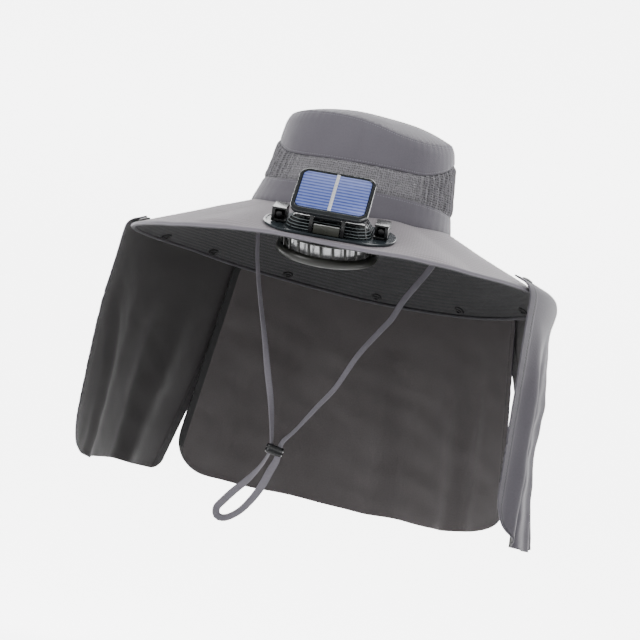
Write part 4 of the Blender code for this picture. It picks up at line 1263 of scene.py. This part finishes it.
def corner_lift(distance, corner):
    """How far a round corner lifts the foot of a panel, at a distance from its side edge."""
    width, height = corner
    if distance >= width:
        return 0.0
    return height * (1.0 - math.sqrt(max(1.0 - (1.0 - distance / width) ** 2, 0.0)))


def sway_out(name, share, fall):
    """How far a panel swings outwards at a place across and down it."""
    table = FLAP_SWAY[name]
    marks = [0.0] + [between(table, share, column) for column in (1, 2, 3, 4)]
    rows = list(zip(SWAY_FALLS, marks))
    return between(rows, min(max(fall, 0.0), 1.0), 1)


def flap_line(name, share):
    """The points that one column of a panel runs through, its cut length and its foot's lift."""
    top_edges, foot_edges, flare, corners, layer = FLAP_PANELS[name]
    top_angle = top_edges[0] + (top_edges[1] - top_edges[0]) * share
    foot_angle = foot_edges[0] + (foot_edges[1] - foot_edges[0]) * share
    hem = hem_point(top_angle, 1.0)
    span = math.radians(foot_edges[1] - foot_edges[0]) * Vector((hem.x, hem.y)).length
    lift = corner_lift(share * span, corners[0])
    lift += corner_lift((1.0 - share) * span, corners[1])
    length = FLAP_DROP - lift
    spread = (flare[0] + (flare[1] - flare[0]) * share) * FLAP_DROP
    over = (BINDING_DEPTH - BRIM_CLOTH) / 2 + GAP + FLAP_CLOTH / 2 + FLAP_LAYER * layer
    beside = GAP + FLAP_CLOTH + FLAP_LAYER * layer
    out = heading(top_angle)
    slope = hem_drop(top_angle) / hem_reach(top_angle)
    up = Vector((0.0, 0.0, 1.0))
    line = []
    for inward in (1.0, 0.45, 0.09):
        point = hem - out * FLAP_LIP * inward
        point.z += FLAP_LIP * inward * slope + over
        line.append(point)
    line.append(hem + out * beside * 0.72 + up * over * 0.25)
    for step in (0.03, 0.12, 0.30, 0.50, 0.72, 0.90, 1.0):
        fall = step * length
        angle = top_angle + (foot_angle - top_angle) * fall / FLAP_DROP
        away = beside + spread * fall / FLAP_DROP
        side = heading(angle) * (Vector((hem.x, hem.y)).length + away)
        line.append(Vector((side.x, side.y, hem.z - fall)))
    return line, length, span


def curve_through(line, segments):
    """A smooth curve through a line of points, each stretch cut into its own count of steps."""
    result = []
    for k, steps in enumerate(segments[: len(line) - 1]):
        p0, p1 = line[max(k - 1, 0)], line[k]
        p2, p3 = line[k + 1], line[min(k + 2, len(line) - 1)]
        m1 = (p2 - p0) * ((p2 - p1).length / max((p2 - p0).length, 1e-9))
        m2 = (p3 - p1) * ((p2 - p1).length / max((p3 - p1).length, 1e-9))
        for step in range(steps):
            t = step / steps
            result.append(
                (2 * t**3 - 3 * t**2 + 1) * p1
                + (t**3 - 2 * t**2 + t) * m1
                + (3 * t**2 - 2 * t**3) * p2
                + (t**3 - t**2) * m2
            )
    result.append(line[-1].copy())
    return result


def crease_depth(name, share, fall):
    """How far the creases of a panel push it outwards at a place across and down it."""
    depth = 0.0
    for middle, drift, width, height, start in FLAP_CREASES[name]:
        off = (share - middle - drift * fall) / width
        depth += height * math.exp(-off * off) * smooth_step((fall - start) / 0.45)
    return depth


def make_flap(name, finishes):
    """One panel of the neck flap: a thin sheet with hemmed edges, hung over the piping."""
    columns = FLAP_COLUMNS
    shares = []
    for j in range(columns):
        t = j / (columns - 1)
        shares.append(t - 0.11 * math.sin(math.tau * t))
    lines = [flap_line(name, share) for share in shares]
    curves = [curve_through(line, FLAP_SEGMENTS) for line, _, _ in lines]
    rows = len(curves[0])
    grid = [[curves[j][i] for j in range(columns)] for i in range(rows)]
    hem_row = sum(FLAP_SEGMENTS[:4])
    falls = [
        [(grid[hem_row][j].z - grid[i][j].z) / FLAP_DROP for j in range(columns)]
        for i in range(rows)
    ]

    def to_edge(i, j):
        """Distance from the sheet's nearest side or foot edge."""
        share, (_, length, span) = shares[j], lines[j]
        side = min(share, 1.0 - share) * span
        near = (lines[min(j + 1, columns - 1)][1] - lines[max(j - 1, 0)][1]) / max(
            (shares[min(j + 1, columns - 1)] - shares[max(j - 1, 0)]) * span, 1e-6
        )
        foot = max(length - falls[i][j] * FLAP_DROP, 0.0) / math.sqrt(1.0 + near * near)
        return side, foot

    def relief(i, j):
        fall = max(falls[i][j], 0.0)
        side, foot = to_edge(i, j)
        fade = smooth_step(side / 0.010) * smooth_step(fall * 8)
        depth = crease_depth(name, shares[j], fall) * (0.45 + 0.55 * fade) * smooth_step(fall * 6)
        run = fall * FLAP_DROP if side < foot else shares[j] * lines[j][2]
        edge = min(side, foot)
        ripple = 0.0005 * wander(run / 0.006, 0.0, 41.0) * math.exp(-edge / 0.010)
        depth += ripple * smooth_step(fall * 9)
        drape = 0.0020 * wander(shares[j] * 5.0, fall * 4.0, 42.0)
        drape += 0.0014 * wander(shares[j] * 9.0 + fall * 6.0, fall * 9.0, 43.0)
        depth += drape * smooth_step(fall * 4) * smooth_step(side / 0.035)
        # The grid's normals point inwards, so a push outwards is negative
        return -(depth + sway_out(name, shares[j], fall))

    middle = push(grid, False, relief)

    def half(i, j):
        side, foot = to_edge(i, j)
        hem = 1.0 - smooth_step((min(side, foot) - FLAP_HEM) / 0.0010)
        return 0.00035 + 0.00035 * hem

    outer = push(middle, False, lambda i, j: -half(i, j))
    inner = push(middle, False, half)

    def plane(i, j):
        return (shares[j] * lines[j][2], falls[i][j] * FLAP_DROP)

    def edge(i, j):
        side, foot = to_edge(i, j)
        if side < foot:
            return (falls[i][j] * FLAP_DROP, side)
        return (shares[j] * lines[j][2], foot)

    def slot(side, i, j):
        near = min(to_edge(min(i + 1, rows - 1), min(j + 1, columns - 1)))
        upper = shares[j] > 0.5 and falls[i][j] < 0.86
        if name == "flap_rear" and side >= 1 and near < FLAP_HEM and upper:
            return 2
        return 1 if side == 1 else 0

    sheet = cloth_wall(
        name + "_sheet",
        outer,
        inner,
        False,
        [
            finishes["flap"],
            # Inner faces take a painted-shade copy of the flap nylon, lighter on the rear panel
            # than on the sides
            finishes["rear_flap_inner_painted_shade" if name == "flap_rear" else "flap_inside_painted_shade"],
            finishes["flap_binding"],
        ],
        plane,
        edge,
        slot,
    )
    settle(sheet, "hat", "flap_nylon", name)
    top_edges = FLAP_PANELS[name][0]
    top_span = math.radians(top_edges[1] - top_edges[0]) * grid[hem_row][columns // 2].xy.length
    return sheet, (top_span + lines[columns // 2][2]) / 2


def make_neck_flap(finishes):
    for name in FLAP_PANELS:
        sheet, width = make_flap(name, finishes)


# ---------------------------------------------------------------- studs


def brim_normal(angle, share):
    along = brim_point(angle + 1.0, share) - brim_point(angle - 1.0, share)
    outwards = brim_point(angle, share + 0.01) - brim_point(angle, share - 0.01)
    return outwards.cross(along).normalized()


def flap_layer(angle):
    found = [
        panel[4]
        for panel in FLAP_PANELS.values()
        if any(panel[0][0] <= angle + turn <= panel[0][1] for turn in (-360.0, 0.0, 360.0))
    ]
    return max(found) if found else None


def make_studs(finishes):
    """Press studs: a domed cap with a rolled rim above the hem, and a ringed socket under it."""
    r, h = STUD_DIAMETER / 2, STUD_HEIGHT
    cap = [(0.0, 0.0), (r * 0.92, 0.0), (r, h * 0.25), (r * 0.97, h * 0.5), (r * 0.8, h * 0.72)]
    cap += [(r * 0.62, h * 0.80), (r * 0.4, h * 0.93), (0.0, h)]
    socket = [(0.0, 0.0), (r, 0.0), (r, h * 0.45), (r * 0.86, h * 0.72), (r * 0.62, h * 0.6)]
    socket += [(r * 0.56, h), (r * 0.36, h), (r * 0.32, h * 0.45), (0.0, h * 0.4)]
    for number, angle in enumerate(STUD_ANGLES, start=1):
        share = 1.0 - STUD_INSET / hem_reach(angle)
        seat = hem_point(angle, share)
        normal = brim_normal(angle, share)
        turn = Vector((0.0, 0.0, 1.0)).rotation_difference(normal).to_matrix().to_4x4()
        flip = Matrix.Rotation(math.pi, 4, "X")
        layer = flap_layer(angle)
        lift = GAP
        if layer is not None:
            lift += (BINDING_DEPTH - BRIM_CLOTH) / 2 + GAP + FLAP_CLOTH + FLAP_LAYER * layer
        places = {
            "top": (cap, Matrix.Translation(seat + Vector((0.0, 0.0, lift))) @ turn),
            "under": (
                socket,
                Matrix.Translation(seat - Vector((0.0, 0.0, BRIM_CLOTH + 2 * GAP))) @ turn @ flip,
            ),
        }
        for side, (profile, place) in places.items():
            work = bmesh.new()
            lathe(work, profile, 40, place)
            stud = hard_piece(f"stud_{side}_{number}_cap", work, finishes["stud"], smooth=40.0)
            settle(stud, "hat", "black_plastic", f"stud_{side}_{number}")


# ---------------------------------------------------------------- fan


# Height in the fan's own frame at which the guard, clips and posts stand on the plate
FLOOR = GAP * 2 + PLATE_THICKNESS


def make_fan_plate(finishes):
    """The plate over the brim: a thin lens with a raised lip round its edge."""
    work = bmesh.new()
    loops = []
    for inset, z in (
        (0.0006, GAP),
        (0.0, GAP + 0.0006),
        (0.0, GAP + PLATE_THICKNESS - 0.0004),
        (0.0004, GAP + PLATE_THICKNESS),
        (0.0018, GAP + PLATE_THICKNESS),
        (0.0024, GAP + PLATE_THICKNESS - 0.0006),
    ):
        outline = rounded_loop(
            PLATE_LENGTH - 2 * inset, PLATE_WIDTH - 2 * inset, 0.0276 - inset, steps=20
        )
        loops.append((outline, z))
    stack(work, loops)
    plate = hard_piece("fan_plate_lens", work, finishes["plate"], fan_place())
    settle(plate, "hat", "black_plastic", "fan_plate")


def make_fan_cage(finishes):
    """The cage under the brim: flange, smooth foot ring, 24 skewed ribs, spokes and motor can."""
    top = -BRIM_CLOTH - GAP
    foot = top - CAGE_DEPTH
    work = bmesh.new()
    rim = CAGE_FLANGE
    lathe(
        work,
        [
            (SPIGOT_RADIUS - 0.002, top - 0.0014),
            (rim - 0.0008, top - 0.0014),
            (rim, top - 0.0008),
            (rim, top),
            (SPIGOT_RADIUS, top),
            (SPIGOT_RADIUS, -GAP),
            (SPIGOT_RADIUS - 0.002, -GAP),
        ],
        96,
    )
    ring = []
    for i in range(20):
        turn = math.tau * i / 20
        ring.append(
            (
                CAGE_RADIUS + CAGE_RING_RADIUS * math.cos(turn),
                foot + CAGE_RING_RADIUS * (1.0 + math.sin(turn)),
            )
        )
    lathe(work, ring, 120)
    low, high = foot + CAGE_RING_RADIUS, top - 0.0008
    for j in range(CAGE_RIBS):
        spin = Matrix.Rotation(math.tau * j / CAGE_RIBS, 4, "Z")
        seat = spin @ Vector((CAGE_RADIUS, 0.0, (low + high) / 2))
        turn = spin @ Matrix.Rotation(math.radians(9.0), 4, "X")
        block(work, (0.0016, 0.0022, high - low), seat, turn)
    for j in range(6):
        spin = Matrix.Rotation(math.tau * (j + 0.5) / 6, 4, "Z")
        seat = spin @ Vector(((CAGE_RADIUS + 0.006) / 2, 0.0, foot + 0.0024))
        block(work, (CAGE_RADIUS - 0.006, 0.0030, 0.0024), seat, spin)
    lathe(
        work,
        [
            (0.0, foot + 0.0012),
            (0.0090, foot + 0.0012),
            (0.0100, foot + 0.0022),
            (0.0100, foot + 0.0066),
            (0.0, foot + 0.0066),
        ],
        48,
    )
    cage = hard_piece("fan_cage_moulding", work, finishes["cage"], fan_place(), bevel=0.00025)
    settle(cage, "hat", "black_plastic", "fan_cage")


def make_fan_rotor(finishes):
    """The rotor: a domed hub, nine curved blades and a thin shroud ring round their tips."""
    work = bmesh.new()
    low, high = ROTOR_FOOT, ROTOR_FOOT + ROTOR_HEIGHT
    lathe(
        work,
        [
            (0.0, low),
            (ROTOR_HUB_RADIUS, low),
            (ROTOR_HUB_RADIUS, high - 0.0018),
            (ROTOR_HUB_RADIUS - 0.0015, high - 0.0003),
            (0.0, high),
        ],
        48,
    )
    for j in range(9):
        add_blade(work, math.tau * j / 9, low, high)
    wall = 0.0009
    lathe(
        work,
        [
            (ROTOR_RADIUS - wall, low),
            (ROTOR_RADIUS, low),
            (ROTOR_RADIUS, high),
            (ROTOR_RADIUS - wall, high),
        ],
        120,
    )
    rotor = hard_piece("fan_rotor_moulding", work, finishes["rotor"], fan_place(), smooth=50.0)
    settle(rotor, "rotor", "silver_plastic", "fan_rotor")


def add_blade(work, start, low, high):
    """One blade, twisted flatter towards its tip."""
    grids = []
    for side in (-0.5, 0.5):
        grid = []
        for i in range(9):
            radius = ROTOR_HUB_RADIUS - 0.0006 + (ROTOR_RADIUS - ROTOR_HUB_RADIUS) * i / 8
            sweep = 0.50 - 0.10 * i / 8
            row = []
            for k in range(7):
                t = k / 6
                angle = start + sweep * (t - 0.5) + 0.12 * i / 8
                camber = 0.0008 * math.sin(math.pi * t)
                z = low + 0.0006 + (high - low - 0.0016) * t + camber + side * 0.0008
                row.append(work.verts.new((radius * math.cos(angle), radius * math.sin(angle), z)))
            grid.append(row)
        grids.append(grid)
    for grid in grids:
        for i in range(8):
            for k in range(6):
                work.faces.new((grid[i][k], grid[i][k + 1], grid[i + 1][k + 1], grid[i + 1][k]))
    a, b = grids
    for i in range(8):
        for k in (0, 6):
            work.faces.new((a[i][k], a[i + 1][k], b[i + 1][k], b[i][k]))
    for k in range(6):
        for i in (0, 8):
            work.faces.new((a[i][k], a[i][k + 1], b[i][k + 1], b[i][k]))


def guard_loop(inset):
    """The guard's outline drawn in by an inset."""
    length, width = GUARD_HALF_LENGTH * 2, GUARD_HALF_WIDTH * 2
    corner = GUARD_CORNER - inset * 0.8
    return rounded_loop(length - 2 * inset, width - 2 * inset, corner, steps=14)


def make_fan_guard(finishes):
    """The domed guard: stacked slanting louvres, tied by pairs of ribs that meet in a peak."""
    work = bmesh.new()
    length, width = GUARD_HALF_LENGTH * 2, GUARD_HALF_WIDTH * 2
    count = 4
    highlight_trim = bmesh.new()
    for k in range(count):
        share = k / count
        z = FLOOR + 0.0005 + (GUARD_HEIGHT - 0.0012) * share
        draw = 0.0060 * share**1.6
        insets = (draw, draw + 0.0009, draw + 0.0030, draw + 0.0022)
        outline = [guard_loop(inset) for inset in insets]
        add_louvre(work, outline, (z, z - 0.0001, z + 0.0012, z + 0.0017))
        # Each louvre gets a thin light-grey bead along its edge, a painted highlight for the glint
        # on it
        insets = (draw - 0.0001, draw + 0.0003, draw + 0.0003, draw - 0.0001)
        edge = [guard_loop(inset) for inset in insets]
        add_louvre(highlight_trim, edge, (z - 0.0001, z - 0.0001, z + 0.0004, z + 0.0004))
    edges = hard_piece("fan_guard_painted_highlight_beads", highlight_trim, finishes["guard_painted_highlight"], fan_place(), smooth=60.0)
    settle(edges, "hat", "black_plastic")
    core = [
        (rounded_loop(length - 0.0110, width - 0.0110, 0.008, steps=14), FLOOR + 0.0004),
        (rounded_loop(length - 0.0180, width - 0.0180, 0.005, steps=14), FLOOR + 0.0080),
    ]
    stack(work, core)
    lid = 0.0074
    stack(
        work,
        [
            (guard_loop(inset), FLOOR + z)
            for inset, z in (
                (lid + 0.001, GUARD_HEIGHT - 0.0020),
                (lid - 0.001, GUARD_HEIGHT - 0.0016),
                (lid - 0.001, GUARD_HEIGHT - 0.0009),
                (lid, GUARD_HEIGHT - 0.0002),
                (lid + 0.003, GUARD_HEIGHT),
            )
        ],
    )
    path = rounded_loop(length - 0.0015, width - 0.0015, GUARD_CORNER - 0.001, steps=14)
    for j in range(14):
        here, way = along_loop(path, (j + 0.5) / 14)
        for lean in (-1, 1):
            add_guard_rib(work, here, way, lean)
    guard = hard_piece("fan_guard_louvres", work, finishes["guard"], fan_place(), smooth=45.0)
    settle(guard, "hat", "black_plastic", "fan_guard")


def add_louvre(work, outlines, heights):
    """A closed ring round the guard with a slanting section."""
    rings = [[work.verts.new((x, y, z)) for x, y in o] for o, z in zip(outlines, heights)]
    for here, there in zip(rings, rings[1:] + rings[:1]):
        for j, _ in enumerate(here):
            k = (j + 1) % len(here)
            work.faces.new((here[j], here[k], there[k], there[j]))


def add_guard_rib(work, here, way, lean):
    """One leg of a peaked rib on the guard's side."""
    way = Vector((way.x, way.y, 0.0)).normalized()
    inwards = Vector((-way.y, way.x, 0.0))
    foot = Vector((here.x, here.y, FLOOR + 0.0004)) + way * lean * 0.0042
    head = Vector((here.x, here.y, FLOOR + GUARD_HEIGHT - 0.0012)) + inwards * 0.0052
    rise = head - foot
    centre = (head + foot) / 2
    turn = rise.to_track_quat("Z", "X").to_matrix().to_4x4()
    block(work, (0.0013, 0.0011, rise.length), centre, turn)


def along_loop(points, share):
    """The point at a share of a closed outline's length, and the way it runs there."""
    loop = [Vector(p) for p in points]
    steps = [(loop[(i + 1) % len(loop)] - p).length for i, p in enumerate(loop)]
    target = share * sum(steps)
    for i, step in enumerate(steps):
        if step and target <= step:
            there = loop[(i + 1) % len(loop)]
            return loop[i].lerp(there, target / step), there - loop[i]
        target -= step
    return loop[0], loop[1] - loop[0]


def make_fan_clips(finishes):
    """The side clips: open boxes with a boss inside, one at each end of the plate."""
    for name, side in (("right", -1), ("left", 1)):
        work = bmesh.new()
        x = side * CLIP_REACH
        wall = 0.0018
        length, width, height = CLIP_LENGTH, CLIP_WIDTH, CLIP_HEIGHT
        block(work, (length, width, wall), (x, 0.0, FLOOR + wall / 2))
        block(work, (length, width, wall), (x, 0.0, FLOOR + height - wall / 2))
        outer_x = x + side * (length - wall * 1.6) / 2
        block(work, (wall * 1.6, width, height - 0.0002), (outer_x, 0.0, FLOOR + height / 2))
        inner_x = x - side * (length - wall) / 2
        block(work, (wall, width * 0.55, height - 0.0004), (inner_x, 0.003, FLOOR + height / 2))
        back_y = width / 2 - wall / 2
        block(work, (length - 0.001, wall, height - 0.0004), (x, back_y, FLOOR + height / 2))
        turn = Matrix.Rotation(math.radians(90.0), 4, "X")
        boss = Matrix.Translation((x, -0.0005, FLOOR + height / 2)) @ turn
        lathe(work, [(0.0, -0.008), (0.0026, -0.008), (0.0026, 0.008), (0.0, 0.008)], 24, boss)
        clip = hard_piece(f"fan_clip_{name}_box", work, finishes["abs"], fan_place(), bevel=0.0003)
        settle(clip, "hat", "black_plastic", f"fan_clip_{name}")


def make_pivot_posts(finishes):
    """Two posts with the steel pin between them, and the smoked cover at their foot."""
    ahead = GUARD_HALF_WIDTH + GAP + POST_WIDTH / 2
    head = PIVOT_HEIGHT + POST_HEAD
    work = bmesh.new()
    for side in (-1, 1):
        block(work, (POST_LENGTH, POST_WIDTH, head), (side * POST_SPREAD, -ahead, FLOOR + head / 2))
    posts = hard_piece("pivot_post_pair", work, finishes["abs"], fan_place(), bevel=0.0006)
    settle(posts, "hat", "black_plastic", "pivot_posts")
    work = bmesh.new()
    turn = Matrix.Rotation(math.radians(90.0), 4, "Y")
    place = Matrix.Translation((0.0, -ahead, FLOOR + PIVOT_HEIGHT)) @ turn
    reach = POST_SPREAD + POST_LENGTH / 2 + 0.0004
    lathe(work, [(0.0, -reach), (0.0012, -reach), (0.0012, reach), (0.0, reach)], 24, place)
    pin = hard_piece("pivot_pin", work, finishes["pin"], fan_place())
    settle(pin, "hat", "black_plastic")
    work = bmesh.new()
    block(
        work,
        (COVER_LENGTH, COVER_WIDTH, COVER_HEIGHT),
        (0.0, -ahead - 0.0007, FLOOR + COVER_HEIGHT / 2),
    )
    cover = hard_piece("fan_smoked_cover", work, finishes["smoked"], fan_place(), bevel=0.0007)
    settle(cover, "hat", "smoked_plastic", "fan_cover")


# ---------------------------------------------------------------- solar panel


def panel_place():
    """The panel's own frame: its pivot, tilted over the plate."""
    ahead = GUARD_HALF_WIDTH + GAP + POST_WIDTH / 2
    pivot = Matrix.Translation((0.0, -ahead, FLOOR + PIVOT_HEIGHT))
    return fan_place() @ pivot @ Matrix.Rotation(math.radians(PANEL_TILT), 4, "X")


def panel_loop(inset, foot_inset, steps=10):
    """The panel's outline drawn in by an inset, and by another one at its lower edge."""
    low = -PANEL_FOOT_RIM / 2 - PANEL_SAG + foot_inset
    high = -PANEL_FOOT_RIM / 2 + PANEL_DEPTH - inset
    corner = max(PANEL_CORNER - inset, 0.0015)
    return rounded_loop(
        PANEL_LENGTH - 2 * inset, high - low, corner, (0.0, (low + high) / 2), steps
    )


def make_solar_panel(finishes):
    """The solar panel: moulded frame with a lipped recess, cell, busbar and hinge knuckle."""
    low = math.hypot(POST_WIDTH / 2, POST_HEAD) + GAP
    high = low + PANEL_THICKNESS
    floor = high - CELL_RECESS
    work = bmesh.new()
    loops = [
        (panel_loop(0.0014, 0.0014), low),
        (panel_loop(0.0004, 0.0004), low + 0.0007),
        (panel_loop(0.0, 0.0), low + 0.0016),
        (panel_loop(0.0, 0.0), high - 0.0012),
        (panel_loop(0.0003, 0.0003), high - 0.0004),
        (panel_loop(0.0010, 0.0012), high),
        (panel_loop(PANEL_RIM - 0.0010, PANEL_FOOT_RIM - 0.0016), high - 0.0001),
        (panel_loop(PANEL_RIM - 0.0004, PANEL_FOOT_RIM - 0.0006), high - 0.0005),
        (panel_loop(PANEL_RIM, PANEL_FOOT_RIM), floor),
    ]
    stack(work, loops)
    knuckle = POST_SPREAD - POST_LENGTH / 2 - 0.001
    turn = Matrix.Rotation(math.radians(90.0), 4, "Y")
    lathe(
        work,
        [(0.0015, -knuckle), (0.0030, -knuckle), (0.0030, knuckle), (0.0015, knuckle)],
        32,
        turn,
    )
    block(work, (knuckle * 2, 0.0050, low), (0.0, 0.0, low / 2 + 0.0010))
    body = hard_piece("solar_panel_frame", work, finishes["frame"], panel_place(), smooth=28.0)
    settle(body, "solar_panel", "black_plastic", "solar_frame")
    work = bmesh.new()
    top = floor + 0.0010
    stack(
        work,
        [
            (panel_loop(PANEL_RIM + 0.0003, PANEL_FOOT_RIM + 0.0003), floor + GAP / 2),
            (panel_loop(PANEL_RIM + 0.0003, PANEL_FOOT_RIM + 0.0003), top - 0.0001),
            (panel_loop(PANEL_RIM + 0.0005, PANEL_FOOT_RIM + 0.0005), top),
        ],
    )
    cell = hard_piece("solar_cell_wafer", work, finishes["cell"], panel_place())
    settle(cell, "solar_panel", "solar_cell", "solar_cell")
    work = bmesh.new()
    depth = PANEL_DEPTH + PANEL_SAG - PANEL_RIM - PANEL_FOOT_RIM
    middle = PANEL_FOOT_RIM / 2 - PANEL_SAG + depth / 2
    block(work, (BUSBAR_WIDTH, depth + 0.001, 0.0005), (0.0, middle, top + 0.0002))
    bar = hard_piece("solar_busbar_strip", work, finishes["busbar"], panel_place(), bevel=0.0001)
    settle(bar, "solar_panel", "tinned_busbar", "solar_busbar")


def main():
    finishes = make_materials()
    set_camera()
    make_chin_cord(finishes)
    make_studio()
    make_crown(finishes)
    make_brim(finishes)
    piping = make_brim_binding(finishes)
    make_neck_flap(finishes)
    make_studs(finishes)
    make_fan_plate(finishes)
    make_fan_cage(finishes)
    make_fan_rotor(finishes)
    make_fan_guard(finishes)
    make_fan_clips(finishes)
    make_pivot_posts(finishes)
    make_solar_panel(finishes)


main()
